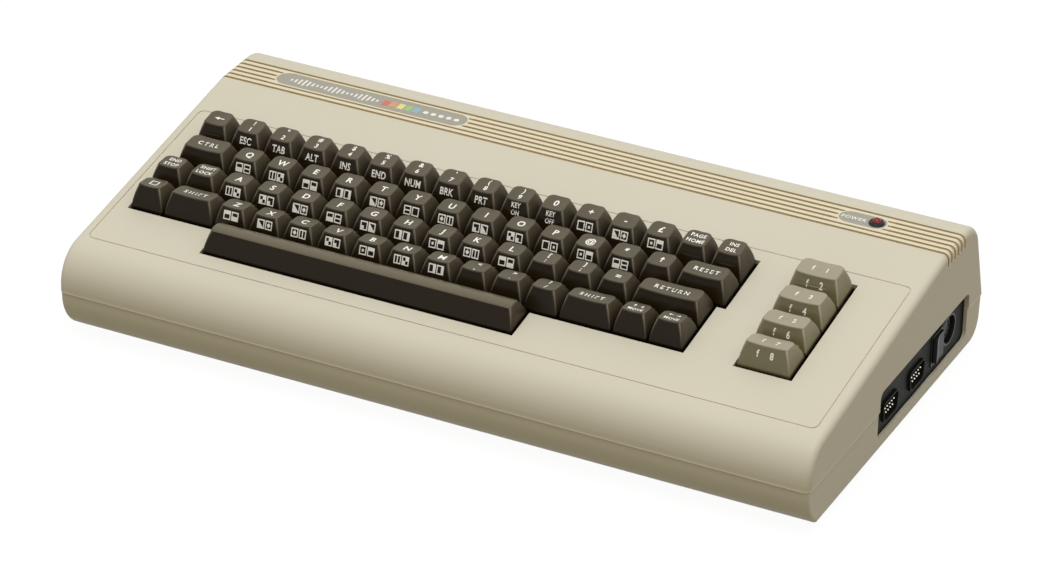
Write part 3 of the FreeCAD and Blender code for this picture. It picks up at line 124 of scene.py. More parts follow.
def within(tree, value, low, high, soft=0.1 * MM):
    """One where a value lies between two limits, with a soft change at each."""
    rise = add(tree, "ShaderNodeMapRange", {"Value": value, "From Min": low - soft, "From Max": low + soft})
    fall = add(tree, "ShaderNodeMapRange", {"Value": value, "From Min": high - soft, "From Max": high + soft,
                                            "To Min": 1.0, "To Max": 0.0})
    both = add(tree, "ShaderNodeMath", {0: rise.outputs[0], 1: fall.outputs[0]}, operation="MULTIPLY")
    return both.outputs[0]


def age_grooves(tree, place, tone):
    """Paints the ribs paler, painted shade into the grooves and a painted highlight on the seam edge."""
    spot = add(tree, "ShaderNodeSeparateXYZ", {0: place})
    across = add(tree, "ShaderNodeMath", {0: spot.outputs["Y"], 1: GROOVE_FIRST - GROOVE_PITCH / 2},
                 operation="SUBTRACT")
    turn = add(tree, "ShaderNodeMath", {0: across.outputs[0], 1: GROOVE_PITCH}, operation="MODULO")
    stripe = within(tree, turn.outputs[0], (GROOVE_PITCH - GROOVE_WIDTH) / 2,
                    (GROOVE_PITCH + GROOVE_WIDTH) / 2)
    field = within(tree, spot.outputs["Y"], GROOVE_FIRST - GROOVE_WIDTH / 2,
                   GROOVE_FIRST + (GROOVES - 1) * GROOVE_PITCH + GROOVE_WIDTH / 2)
    sunk = within(tree, spot.outputs["Z"], GROOVE_LOWEST, GROOVE_FLOOR)
    high = within(tree, spot.outputs["Z"], GROOVE_LOWEST, 2 * TOP_HEIGHT)
    ribs = add(tree, "ShaderNodeMath", {0: field, 1: high}, operation="MULTIPLY")
    lines = add(tree, "ShaderNodeMath", {0: field, 1: stripe}, operation="MULTIPLY")
    zones = [within(tree, spot.outputs["X"], *zone) for zone in PLATE_ZONES]
    plates = add(tree, "ShaderNodeMath", {0: zones[0], 1: zones[1]}, operation="ADD")
    beside = within(tree, spot.outputs["Y"], *PLATE_DEPTH)
    rims = add(tree, "ShaderNodeMath", {0: plates.outputs[0], 1: beside}, operation="MULTIPLY")
    clear = add(tree, "ShaderNodeMath", {0: 1.0, 1: rims.outputs[0]}, operation="SUBTRACT")
    level = add(tree, "ShaderNodeMath", {0: high, 1: clear.outputs[0]}, operation="MULTIPLY")
    either = add(tree, "ShaderNodeMath", {0: sunk, 1: level.outputs[0]}, operation="MAXIMUM")
    dark = add(tree, "ShaderNodeMath", {0: lines.outputs[0], 1: either.outputs[0]}, operation="MULTIPLY")
    # The band of ribs is painted paler and yellower than the rest of the top.
    paler_ribs = add(tree, "ShaderNodeMix", {0: ribs.outputs[0], 6: tone, 7: linear("#e2d8bf")},
                   data_type="RGBA")
    # Painted shade: the groove stripes are mixed towards a darker tan.
    shaded_grooves = add(tree, "ShaderNodeMix", {0: dark.outputs[0], 6: paler_ribs.outputs[2], 7: linear("#bcae8c")},
                data_type="RGBA")
    # Painted highlight: the seam's edge is lightened where light catches the lip of the lower shell.
    seam_highlight = within(tree, spot.outputs["Z"], SEAM, SEAM + SEAM_EDGE)
    edge = add(tree, "ShaderNodeMix", {0: seam_highlight, 6: shaded_grooves.outputs[2], 7: linear("#ebe6d2")},
               data_type="RGBA")
    return edge.outputs[2]


# The real pebble is about 0.15 mm across. It is drawn at 0.5 mm, as small as the picture can show.
# Its gloss is broken up by the pebble, so it reflects about half of what bare ABS does.
putty = moulded("putty ABS, spark-eroded", "#d3cebd", "#cec9b6", 0.5, 0.5 * MM, 0.02 * MM, specular=0.25,
                paint=age_grooves)
dress(putty, "top_case", "bottom_case")

# Key caps: hollow double-shot mouldings in dark brown ABS on square plungers, one for each key.
# Their sides come satin from a polished mould and the dished tops are finely etched.
# The sides' darker colour is painted shade; the same brown plastic lies under both.
first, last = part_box("top_left_key"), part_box("delete_key")
PITCH = (last[0].x - first[0].x) / 15
GAP = PITCH - (first[1].x - first[0].x)
KEYS_LEFT = first[0].x - GAP / 2
DECK_ANGLE = math.radians(9.28)
DECK_HEIGHT = 63.94 * MM
KEYS_FRONT = -61.07 * MM
# The skirt starts just under the deck, bulges by the belly and ends in a rolled edge round the dish.
FOOT_LIFT = -0.4 * MM
BELLY = 0.35 * MM
EDGE = 0.5 * MM
DISH = 0.7 * MM
SIDE_INSET = 2.9 * MM
FOOT_CORNER = 0.9 * MM
FRONT_CORNER = 1.5 * MM
REAR_CORNER = 3.9 * MM
CORNER_STEPS = 4
TOP_STEP = 2.2 * MM
# Inside it is hollow round a square plunger.
WALL = 1.3 * MM
ROOF = 4.2 * MM
PLUNGER = 6 * MM
PLUNGER_CORNER = 0.5 * MM
PLUNGER_REACH = 13 * MM
# How strongly a painted sheen lightens the sides where they meet the top.
SIDE_SHEEN = 0.36
# Front inset, height of the top's front edge, its tilt and its depth, for each row from the back.
ROWS = {1: (5.8 * MM, 12.5 * MM, 0, 12.2 * MM), 2: (4.9 * MM, 11.6 * MM, -5, 12.2 * MM),
        3: (5 * MM, 11.3 * MM, -8, 11.8 * MM), 4: (5 * MM, 12.2 * MM, -15, 11.6 * MM),
        5: (6.1 * MM, 10.2 * MM, -10, 9.4 * MM)}
ROW_START = {1: 0, 2: 0, 3: -0.25, 4: -0.25, 5: 0}


def to_case(x, v, h):
    """A point over the sloping deck, from its own plane."""
    return Vector((x, v * math.cos(DECK_ANGLE) - h * math.sin(DECK_ANGLE),
                   DECK_HEIGHT + v * math.sin(DECK_ANGLE) + h * math.cos(DECK_ANGLE)))


def lerp(one, other, share):
    """The value at a share of the way from one to the other."""
    return one + (other - one) * share


def outline(bounds, radii, side_steps):
    """A rectangle with round corners as a closed run of points, from the front left to the right."""
    left, right, front, rear = bounds
    corners = ((left, front, 180), (right, front, 270), (right, rear, 0), (left, rear, 90))
    arcs = []
    for (x, v, start), radius in zip(corners, radii):
        middle = (x + radius if x == left else x - radius, v + radius if v == front else v - radius)
        turns = [math.radians(start + 90 * step / CORNER_STEPS) for step in range(CORNER_STEPS + 1)]
        arcs.append([(middle[0] + radius * math.cos(turn), middle[1] + radius * math.sin(turn))
                     for turn in turns])
    points = []
    for number, arc in enumerate(arcs):
        points += arc
        begin, end = arc[-1], arcs[(number + 1) % len(arcs)][0]
        steps = side_steps[number % 2]
        points += [(lerp(begin[0], end[0], step / steps), lerp(begin[1], end[1], step / steps))
                   for step in range(1, steps)]
    return points


def cap_shape(left, width, row, insets=(SIDE_INSET, SIDE_INSET), crown=0):
    """One cap in the deck's plane: its foot, its top, and how high its dished or crowned top lies."""
    inset, rise, tilt, depth = ROWS[row]
    front = KEYS_FRONT + (4 - row) * PITCH + GAP / 2
    foot = (left + GAP / 2, left + width - GAP / 2, front, front + PITCH - GAP)
    top = (foot[0] + insets[0], foot[1] - insets[1], front + inset, front + inset + depth)
    middle, half = (top[0] + top[1]) / 2, (top[1] - top[0]) / 2
    centre = (top[2] + top[3]) / 2

    def height(x, v):
        plane = rise + (v - top[2]) * math.tan(math.radians(tilt))
        if crown:
            return plane + crown * (1 - (2 * (v - top[2]) / depth - 1) ** 2)
        return plane - DISH * (1 - min(1, abs(x - middle) / half) ** 2)

    def on_top(x, v, lift=0):
        return to_case(middle + x, centre + v, height(middle + x, centre + v) + lift)

    def on_front(x, up, lift=0):
        high = height(middle + x, top[2]) - EDGE
        share = (up - FOOT_LIFT) / (high - FOOT_LIFT)
        belly = BELLY * math.sin(math.pi * share)
        return to_case(middle + x, lerp(foot[2], top[2], share) - belly - lift, up)
    return {"foot": foot, "top": top, "height": height, "on_top": on_top, "on_front": on_front, "rise": rise}


def skin_rings(form, rings, material=0):
    """Joins closed rings of vertices, each to the next, with quads."""
    for lower, upper in zip(rings, rings[1:]):
        for number in range(len(lower)):
            after = (number + 1) % len(lower)
            face = form.faces.new((lower[number], lower[after], upper[after], upper[number]))
            face.material_index = material


def build_cap(form, shape, radii=(FRONT_CORNER, FRONT_CORNER, REAR_CORNER, REAR_CORNER), edge_highlight=0.15,
              wall=WALL):
    """Adds one cap: leaning sides with a slight belly, a rolled top edge, the dish, and the hollow below."""
    foot, top, height = shape["foot"], shape["top"], shape["height"]
    steps = (max(6, round((top[1] - top[0]) / TOP_STEP)), 4)
    brim = outline(top, radii, steps)
    painted_gleam = form.verts.layers.float.get("painted_gleam") or form.verts.layers.float.new("painted_gleam")
    right_corner = CORNER_STEPS + steps[0]
    half_turn = CORNER_STEPS // 2

    def wear(points, corner, front=0, side=0):
        """Marks a ring's painted highlights on the front corners and front edge, and the painted sheen on its
        sides.
        """
        for number in [0, *range(right_corner + half_turn + 1, len(points))]:
            points[number][painted_gleam] = side
        for number in range(CORNER_STEPS, right_corner + 1):
            points[number][painted_gleam] = front
        for tip in (half_turn, right_corner + half_turn):
            points[tip][painted_gleam] = corner
            for beside in (tip - 1, tip + 1):
                points[beside][painted_gleam] = max(points[beside][painted_gleam], front, corner * 0.3)

    def ring(bounds, corners, heights):
        points = outline(bounds, corners, steps)
        return [form.verts.new(to_case(x, v, h)) for (x, v), h in zip(points, heights)]

    def shrunk(inset):
        return top[0] + inset, top[1] - inset, top[2] + inset, top[3] - inset

    tops = [height(x, v) for x, v in brim]
    rings = []
    for share in (0, 0.15, 0.35, 0.55, 0.8, 1):
        bulge = BELLY * math.sin(math.pi * share)
        bounds = [lerp(foot[side], top[side], share) + bulge * outward
                  for side, outward in enumerate((-1, 1, -1, 1))]
        corners = [lerp(FOOT_CORNER, radius, share ** 2) for radius in radii]
        rings.append(ring(bounds, corners, [lerp(FOOT_LIFT, high - EDGE, share) for high in tops]))
        wear(rings[-1], share ** 1.5, side=SIDE_SHEEN * share)
    for turn in (30, 60, 90):
        inset = EDGE * (1 - math.cos(math.radians(turn)))
        sink = EDGE * (1 - math.sin(math.radians(turn)))
        corners = [radius - inset for radius in radii]
        rings.append(ring(shrunk(inset), corners, [high - sink for high in tops]))
        wear(rings[-1], 1 - turn / 100, edge_highlight if turn < 90 else 0, SIDE_SHEEN)
    skin_rings(form, rings)
    # The dish goes down in rings of even width to a thin spine, so that a wide cap has no sharp fan in it.
    half_depth = (top[3] - top[2]) / 2 - EDGE
    dish = [rings[-1]]
    for share in (0.8, 0.55, 0.3, 0.04):
        flat = outline(shrunk(EDGE + half_depth * (1 - share)), [(radius - EDGE) * share for radius in radii],
                       steps)
        dish.append([form.verts.new(to_case(x, v, height(x, v))) for x, v in flat])
    skin_rings(form, dish, material=1)
    form.faces.new(dish[-1]).material_index = 1
    low = shape["rise"] - DISH - ROOF
    room = [foot[side] + wall * inward for side, inward in enumerate((1, -1, 1, -1))]
    roof = [lerp(room[side], top[side], 0.5) for side in range(4)]
    corners = [FOOT_CORNER] * 4
    hollow = [ring(room, corners, [FOOT_LIFT] * len(brim)), ring(roof, corners, [low] * len(brim))]
    skin_rings(form, [hollow[0], rings[0]])
    skin_rings(form, [hollow[1], hollow[0]])
    form.faces.new(list(reversed(hollow[1])))
    middle, centre = (top[0] + top[1]) / 2, (foot[2] + foot[3]) / 2
    half = PLUNGER / 2
    core = outline((middle - half, middle + half, centre - half, centre + half), [PLUNGER_CORNER] * 4, (1, 1))
    post = [[form.verts.new(to_case(x, v, h)) for x, v in core] for h in (-PLUNGER_REACH, low)]
    skin_rings(form, post)
    form.faces.new(list(reversed(post[0])))


def new_piece(name, form, materials, body, smooth=True):
    """Makes a piece from finished faces, and lets it ride on a body."""
    mesh = bpy.data.meshes.new(name)
    form.normal_update()
    form.to_mesh(mesh)
    form.free()
    mesh.polygons.foreach_set("use_smooth", [smooth] * len(mesh.polygons))
    for material in materials:
        mesh.materials.append(material)
    piece = bpy.data.objects.new(name, mesh)
    bpy.context.scene.collection.objects.link(piece)
    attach(piece, body)
    return piece


# Etch marks are about 0.1 mm apart. They are drawn 0.35 mm apart, as fine as the picture can show.
# A film of dust and skin grease takes most of the gloss of the sides. Painted sheen lightens the sides
# towards the top, and painted highlights run down the front corners and along the front edge.


# Painted highlights and painted sheen: a cap's marks blend its sides towards a lighter colour.
def rubbed_to(colour):
    """Gives the paint that blends to the colour of painted highlights and sheen by a cap's own marks."""
    def paint(tree, place, tone):
        gleam_share = add(tree, "ShaderNodeAttribute", attribute_name="painted_gleam")
        return add(tree, "ShaderNodeMix", {0: gleam_share.outputs["Fac"], 6: tone, 7: linear(colour)},
                   data_type="RGBA").outputs[2]
    return paint


# The sides are painted darker than the tops as painted shade.
cap_sides = moulded("brown ABS, satin, painted shade and highlights", "#241b0c", "#1f1709", 0.3, 0.6 * MM, 0.006 * MM, patch=25 * MM,
                    specular=0.15, paint=rubbed_to("#8f8470"))
cap_tops = moulded("brown ABS, etched", "#50472f", "#4a412a", 0.42, 0.35 * MM, 0.025 * MM, patch=25 * MM)

# Legends: the second shot of white ABS, flush in the top; the marks on the fronts are pad-printed.
# Letters, digits and signs are those of any keyboard, and the front marks are plain block patterns.
LETTER = 4.4 * MM
SMALL = 3.3 * MM
WORD = 3.1 * MM
NARROW = 0.86
CAPITAL_SHARE = 0.73
BOLDER = 0.024
LIFT = 0.05 * MM
STRIP = 1 * MM
# Where the parts of a legend lie over and under the middle of the top, as shares of their height.
SIGN_RISE, DIGIT_DROP = 0.9, 0.65
LINE_SIZE, LINE_RISE = 0.85, 0.72
MOVE_SIZE, ARROW_SIZE, ARROW_PLACE = 0.75, 0.75, 0.6
FRONT_SPLIT_SIZE = 0.7
TOP_ROW = ["1!", "2\"", "3#", "4$", "5%", "6&", "7'", "8(", "9)", "0", "+", "-", "£"]
FRONT_WORDS = ["ESC", "TAB", "ALT", "INS", "END", "NUM", "BRK", "PRT", "KEY/ON", "KEY/OFF"]
LETTER_ROWS = {2: list("QWERTYUIOP@*") + ["up"], 3: list("ASDFGHJKL") + [":[", ";]", "="],
               4: list("ZXCVBNM") + [",<", ".>", "/?"]}
# White ABS is a little smoother than the etched top round it, so the legends look crisp and flush.
legend_white = moulded("white ABS, second shot", "#fbf9f3", "#f6f3ea", 0.45, 0.5 * MM, 0.004 * MM)
glyph_store = {}


def cut_to_strips(form, step):
    """Cuts flat faces along a grid, so that they can follow a curved face."""
    spread = [vertex.co for vertex in form.verts]
    for axis in (0, 1):
        low = min(point[axis] for point in spread)
        high = max(point[axis] for point in spread)
        direction = Vector((1 - axis, axis, 0))
        for number in range(1, int((high - low) / step) + 1):
            everything = form.verts[:] + form.edges[:] + form.faces[:]
            bmesh.ops.bisect_plane(form, geom=everything, plane_co=direction * (low + number * step),
                                   plane_no=direction, dist=step / 1000)


def drawn_from(form):
    """Turns a flat form into a drawing: its points, and the corners of its faces."""
    cut_to_strips(form, STRIP)
    form.verts.index_update()
    made = ([vertex.co.copy() for vertex in form.verts],
            [[vertex.index for vertex in face.verts] for face in form.faces])
    form.free()
    return made


def lettering(text, height, spacing=1.12):
    """Draws flat lettering of a given capital height, centred. What repeats is drawn once."""
    key = (text, height, spacing)
    if key not in glyph_store:
        curve = bpy.data.curves.new("lettering", "FONT")
        curve.body = text
        curve.align_x = "CENTER"
        curve.space_character = spacing
        curve.resolution_u = 3
        curve.offset = BOLDER
        holder = bpy.data.objects.new("lettering", curve)
        flat = bpy.data.meshes.new_from_object(holder)
        form = bmesh.new()
        form.from_mesh(flat)
        bpy.data.objects.remove(holder)
        bpy.data.meshes.remove(flat)
        scale = height / CAPITAL_SHARE
        bmesh.ops.scale(form, vec=(scale * NARROW, scale, 1), verts=form.verts)
        low = min(vertex.co.x for vertex in form.verts)
        high = max(vertex.co.x for vertex in form.verts)
        bmesh.ops.translate(form, vec=(-(low + high) / 2, -height / 2, 0), verts=form.verts)
        glyph_store[key] = drawn_from(form)
    return glyph_store[key]


def drawing(polygons, size):
    """Draws a mark from polygons in a unit square, centred."""
    form = bmesh.new()
    for polygon in polygons:
        form.faces.new([form.verts.new(((x - 0.5) * size[0], (y - 0.5) * size[1], 0)) for x, y in polygon])
    return drawn_from(form)


def lay(form, drawn, face, x=0, y=0):
    """Lays a flat drawing on a face of a cap, a hair above it."""
    points, faces = drawn
    placed = [form.verts.new(face(x + point.x, y + point.y, LIFT)) for point in points]
    for corners in faces:
        form.faces.new([placed[number] for number in corners])


ARROW = [[(0.4, 0), (0.6, 0), (0.6, 0.62), (0.4, 0.62)], [(0.12, 0.55), (0.88, 0.55), (0.5, 1)]]


def turned(polygons, quarter_turns):
    """The polygons of a mark, turned to the left in its unit square."""
    for _ in range(quarter_turns):
        polygons = [[(1 - y, x) for x, y in polygon] for polygon in polygons]
    return polygons


def legend(form, text, shape):
    """Lays one key's own legend on its top: a word, two lines, one sign, two signs, or an arrow."""
    face = shape["on_top"]
    turns = {"up": 0, "left": 1, "down": 2, "right": 3}
    if text in ("up", "down"):
        lay(form, drawing(turned(ARROW, turns[text]), (LETTER * 0.7, LETTER)), face)
    elif text in ("left", "right"):
        lay(form, drawing(turned(ARROW, turns[text]), (LETTER * 1.25, LETTER * 0.7)), face)
    elif text in ("up down", "left right"):
        size = SMALL * ARROW_SIZE
        for side, way in zip((-1, 1), text.split()):
            lay(form, drawing(turned(ARROW, turns[way]), (size, size)), face,
                x=side * SMALL * ARROW_PLACE, y=SMALL * DIGIT_DROP)
        lay(form, lettering("MOVE", WORD * MOVE_SIZE, 1.1), face, y=-SMALL * ARROW_PLACE)
    elif text == "open square":
        lay(form, drawing(BLOCK, (LETTER, LETTER)), face)
    elif len(text) == 2 and not text.isalpha():
        lay(form, lettering(text[1], SMALL), face, y=SMALL * SIGN_RISE)
        lay(form, lettering(text[0], SMALL), face, y=-SMALL * DIGIT_DROP)
    elif "/" in text and len(text) > 2:
        for line, lift in zip(text.split("/"), (1, -1)):
            lay(form, lettering(line, WORD * LINE_SIZE), face, y=lift * WORD * LINE_RISE)
    elif len(text) > 1:
        wide = shape["top"][1] - shape["top"][0] > PITCH
        lay(form, lettering(text, WORD, 1.5 if wide else 1.15), face)
    else:
        lay(form, lettering(text, LETTER), face)


def box_mark(left, low, right, high):
    """A rectangle in a mark's unit square."""
    return [(left, low), (right, low), (right, high), (left, high)]


# Block marks: an outlined square with a plain pattern in it, printed on the fronts in pairs.
RIM = 0.14
FAR = 1 - RIM
BLOCK = [box_mark(0, 0, 1, RIM), box_mark(0, FAR, 1, 1),
         box_mark(0, RIM, RIM, FAR), box_mark(FAR, RIM, 1, FAR)]
FILLS = [
    [],
    [[(RIM, RIM), (FAR, RIM), (RIM, FAR)]],
    [box_mark(0.36, 0.36, 0.64, 0.64)],
    [box_mark(RIM, 0.43, FAR, 0.57)],
    [box_mark(RIM, RIM, FAR, 0.5)],
    [[(0.5, 0.22), (0.78, 0.5), (0.5, 0.78), (0.22, 0.5)]],
    [box_mark(0.43, RIM, 0.57, FAR)],
    [box_mark(RIM, RIM, 0.5, 0.5)],
    [box_mark(RIM, 0.6, FAR, FAR)],
    [box_mark(RIM, RIM, 0.5, 0.5), box_mark(0.5, 0.5, FAR, FAR)],
    [box_mark(0.62, RIM, FAR, FAR)],
]
MARK_SIZE = (3.9 * MM, 4.2 * MM)
MARK_PLACE = 2.2 * MM
MARK_BELOW = 4.1 * MM


def front_marks(form, shape, mark):
    """Prints a pair of block marks, or a short word, on a cap's front."""
    height = shape["rise"] - MARK_BELOW
    if isinstance(mark, str):
        lines = mark.split("/")
        size = SMALL if len(lines) == 1 else SMALL * FRONT_SPLIT_SIZE
        for number, line in enumerate(lines):
            lay(form, lettering(line, size, 1.05), shape["on_front"],
                y=height + (len(lines) - 1) * (0.5 - number) * SMALL)
        return
    for side, fill in ((-1, FILLS[mark % len(FILLS)]), (1, FILLS[(mark * 3 + 2) % len(FILLS)])):
        lay(form, drawing(BLOCK + fill, MARK_SIZE), shape["on_front"], x=side * MARK_PLACE, y=height)


def make_keys(name, keys, body):
    """Makes the caps of one node with their legends. A key is its left share, width, row, legend and mark."""
    caps, legends = bmesh.new(), bmesh.new()
    for left, width, row, text, mark in keys:
        shape = cap_shape(KEYS_LEFT + (left + ROW_START[row]) * PITCH, width * PITCH, row)
        build_cap(caps, shape)
        legend(legends, text, shape)
        if mark is not None:
            front_marks(legends, shape, mark)
    piece = new_piece(name + "_caps", caps, [cap_sides, cap_tops], body)
    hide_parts(name)
    new_piece(name + "_legends", legends, [legend_white], body)


for column in range(1, 14):
    keys = [(column, 1, 1, TOP_ROW[column - 1], column if column > 10 else FRONT_WORDS[column - 1])]
    for row, start in ((2, 0.5), (3, 1), (4, 1.5)):
        if column <= len(LETTER_ROWS[row]):
            text = LETTER_ROWS[row][column - 1]
            marked = len(text) == 1 and (text.isalpha() or text in "@*")
            keys.append((start + column, 1, row, text, column * row + row if marked else None))
    make_keys(f"key_column_{column:02d}", keys, f"key_column_{column:02d}_body")

# Keys that move alone: left edge and width in shares of the pitch, row and legend.
SINGLE_KEYS = {
    "top_left_key": (0, 1, 1, "left"),
    "home_key": (14, 1, 1, "PAGE/HOME"),
    "delete_key": (15, 1, 1, "INS/DEL"),
    "control_key": (0, 1.5, 2, "CTRL"),
    "upper_right_key": (14.5, 1.5, 2, "RESET"),
    "stop_key": (0, 1, 3, "END/STOP"),
    "shift_lock_key": (1, 1, 3, "SHIFT/LOCK"),
    "return_key": (14, 2, 3, "RETURN"),
    "emblem_key": (0, 1, 4, "open square"),
    "left_shift_key": (1, 1.5, 4, "SHIFT"),
    "right_shift_key": (12.5, 1.5, 4, "SHIFT"),
    "down_cursor_key": (14, 1, 4, "up down"),
    "right_cursor_key": (15, 1, 4, "left right"),
}
for name, key in SINGLE_KEYS.items():
    make_keys(name, [key + (None,)], name + "_body")

# Function keys: four wide caps in grey-olive ABS, made like the others, numbered on top and front.
# Painted highlights show as light lines down the front corners, painted sheen lightens the sides, and the
# sides' darker colour is painted shade.
FUNCTION_LEFT = 142.5 * MM
FUNCTION_WIDTH = 28.4 * MM
FUNCTION_INSETS = (2.6 * MM, 3.1 * MM)
# Painted shade darkens the sides below the tops' colour, and #b3ac97 is the colour of their painted
# highlights and sheen.
function_sides = moulded("olive ABS, satin, painted shade and highlights", "#706949", "#6a6344", 0.3, 0.6 * MM, 0.006 * MM, patch=25 * MM,
                         paint=rubbed_to("#b3ac97"))
function_tops = moulded("olive ABS, etched", "#a19a83", "#9b947d", 0.45, 0.35 * MM, 0.025 * MM, patch=25 * MM)
NUMBER_PLACE = 3.6 * MM
NUMBER_BELOW = 4.2 * MM
for row in range(1, 5):
    name = f"function_key_{row}"
    shape = cap_shape(FUNCTION_LEFT, FUNCTION_WIDTH, row, FUNCTION_INSETS)
    caps, legends = bmesh.new(), bmesh.new()
    build_cap(caps, shape)
    for face, number, place in (("on_top", 2 * row - 1, 0),
                                ("on_front", 2 * row, shape["rise"] - NUMBER_BELOW)):
        lay(legends, lettering("f", SMALL), shape[face], x=-NUMBER_PLACE, y=place)
        lay(legends, lettering(str(number), SMALL), shape[face], x=NUMBER_PLACE, y=place)
    piece = new_piece(name + "_cap", caps, [function_sides, function_tops], name + "_body")
    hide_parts(name)
    new_piece(name + "_legends", legends, [legend_white], name + "_body")

# Space bar: one long hollow cap in the same brown ABS, crowned from front to back and polished by thumbs.
# Its rear edge lies lower than its front edge, so that the row behind stays free, and its walls are thin
# below, clear of the wire's clips. Thumbs have worn off the etching, which leaves a long soft gleam.
BAR_LEFT = 2.475
BAR_LONG = 8.99
BAR_INSET = 2.5 * MM
BAR_CROWN = 0.9 * MM
BAR_WALL = 0.6 * MM
bar_top = moulded("brown ABS, thumb-polished", "#60573f", "#5b523a", 0.32, 0.5 * MM, 0.004 * MM,
                  patch=30 * MM)
bar = bmesh.new()
shape = cap_shape(KEYS_LEFT + BAR_LEFT * PITCH, BAR_LONG * PITCH, 5, (BAR_INSET, BAR_INSET), BAR_CROWN)
# The bar's front top edge gets a strong painted highlight.
build_cap(bar, shape, (FRONT_CORNER, FRONT_CORNER, BAR_INSET, BAR_INSET), edge_highlight=0.6, wall=BAR_WALL)
piece = new_piece("space_bar_cap", bar, [cap_sides, bar_top], "space_bar_body")
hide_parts("space_bar")

# Black plastics: the keyboard's carrier, the round sockets, the cartridge slot, the switch and the slider.
# Moulded ABS with a low satin gleam that shows their edges in the dark openings.
black_plastic = moulded("black ABS, satin", "#1b1c1d", "#17181a", 0.42, 0.6 * MM, 0.01 * MM, patch=40 * MM,
                        specular=0.3)
dress(black_plastic, "keyboard_frame", "power_socket", "monitor_socket", "serial_socket", "cartridge_slot",
      "power_switch", "power_rocker", "channel_slider", "light_collar")

# Side panel: black ABS held in a groove behind the side opening. Its coarse mould leaves it nearly without
# gloss, so the sockets stand out from it by their shape.
panel_black = moulded("black ABS, matt", "#161713", "#1e1f1a", 0.55, 0.9 * MM, 0.03 * MM, patch=12 * MM,
                      specular=0.09)
dress(panel_black, "side_panel", "control_port_1", "control_port_2")

# Controller sockets: nine nickel-plated brass pins in two rows, each turned with a domed tip.
# Nickel is warmer than steel and mirrors more clearly, so each tip catches one small light.
PIN_ROWS = ((5, 1), (4, -1))
SOCKET_HEIGHT = 19.8 * MM
PIN_RADIUS = 0.56 * MM
PIN_PITCH = 2.77 * MM
PIN_ROW = 2.84 * MM
PIN_FOOT = 195.2 * MM
PIN_TIP = 201.1 * MM
PIN_SIDES = 12
PIN_PROFILE = ((0, 1), (0.88, 1), (0.94, 0.85), (0.98, 0.55))


def metal(name, colour, roughness, scale, spread=0.06):
    """Bare or plated metal: one tone, with a fine cloud of roughness from its surface."""
    material, tree = new_material(name)
    place = add(tree, "ShaderNodeTexCoord").outputs["Object"]
    cloud = add(tree, "ShaderNodeTexNoise", {"Vector": place, "Scale": 1 / scale, "Detail": 4.0})
    gloss = add(tree, "ShaderNodeMapRange", {"Value": cloud.outputs["Fac"], "From Min": 0.3, "From Max": 0.7,
                                             "To Min": roughness - spread, "To Max": roughness + spread})
    bump = add(tree, "ShaderNodeBump", {"Height": cloud.outputs["Fac"], "Distance": 0.01 * MM,
                                        "Strength": 0.6})
    shader = add(tree, "ShaderNodeBsdfPrincipled", {
        "Base Color": linear(colour), "Metallic": 1.0, "Roughness": gloss.outputs[0],
        "Normal": bump.outputs[0]})
    close_material(tree, shader)
    return material


nickel = metal("nickel-plated brass", "#e2ddd0", 0.2, 1 * MM)
turns = [2 * math.pi * step / PIN_SIDES for step in range(PIN_SIDES)]
spokes = [Vector((0, math.cos(turn), math.sin(turn))) for turn in turns]
for number in (1, 2):
    pins = bmesh.new()
    low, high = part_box(f"control_port_{number}")
    socket_y = (low.y + high.y) / 2
    for count, side in PIN_ROWS:
        for place in range(count):
            middle = Vector((0, socket_y + (place - (count - 1) / 2) * PIN_PITCH,
                             SOCKET_HEIGHT + side * PIN_ROW / 2))
            rings = []
            for reach, wide in PIN_PROFILE:
                along = Vector((lerp(PIN_FOOT, PIN_TIP, reach), 0, 0))
                rings.append([pins.verts.new(middle + along + PIN_RADIUS * wide * spoke) for spoke in spokes])
            skin_rings(pins, rings)
            pins.faces.new(rings[-1])
            pins.faces.new(list(reversed(rings[0])))
    piece = new_piece(f"control_port_{number}_pins", pins, [nickel], "housing")

# Sheet and drawn metal inside: the levelling wire and screws, the two cans, and the heat sink.
# Zinc, tin and bare aluminium differ in tone and in how broad their reflections are.
steel = metal("zinc-plated steel", "#b9babb", 0.3, 2 * MM)
tinned = metal("tinned sheet steel", "#c3c4c2", 0.34, 9 * MM)
aluminium = metal("extruded aluminium", "#c9cbcc", 0.32, 3 * MM)
dress(steel, "stabilizer_wire", "screws")
dress(tinned, "modulator", "screen_can")
dress(aluminium, "heat_sink")

# Circuit boards: glass laminate under green solder mask, a glossy lacquer with soft hills over the tracks.
board_green = moulded("solder-masked laminate", "#2c5a34", "#27512f", 0.35, 1.2 * MM, 0.02 * MM,
                      patch=15 * MM)
dress(board_green, "main_board", "keyboard_board")

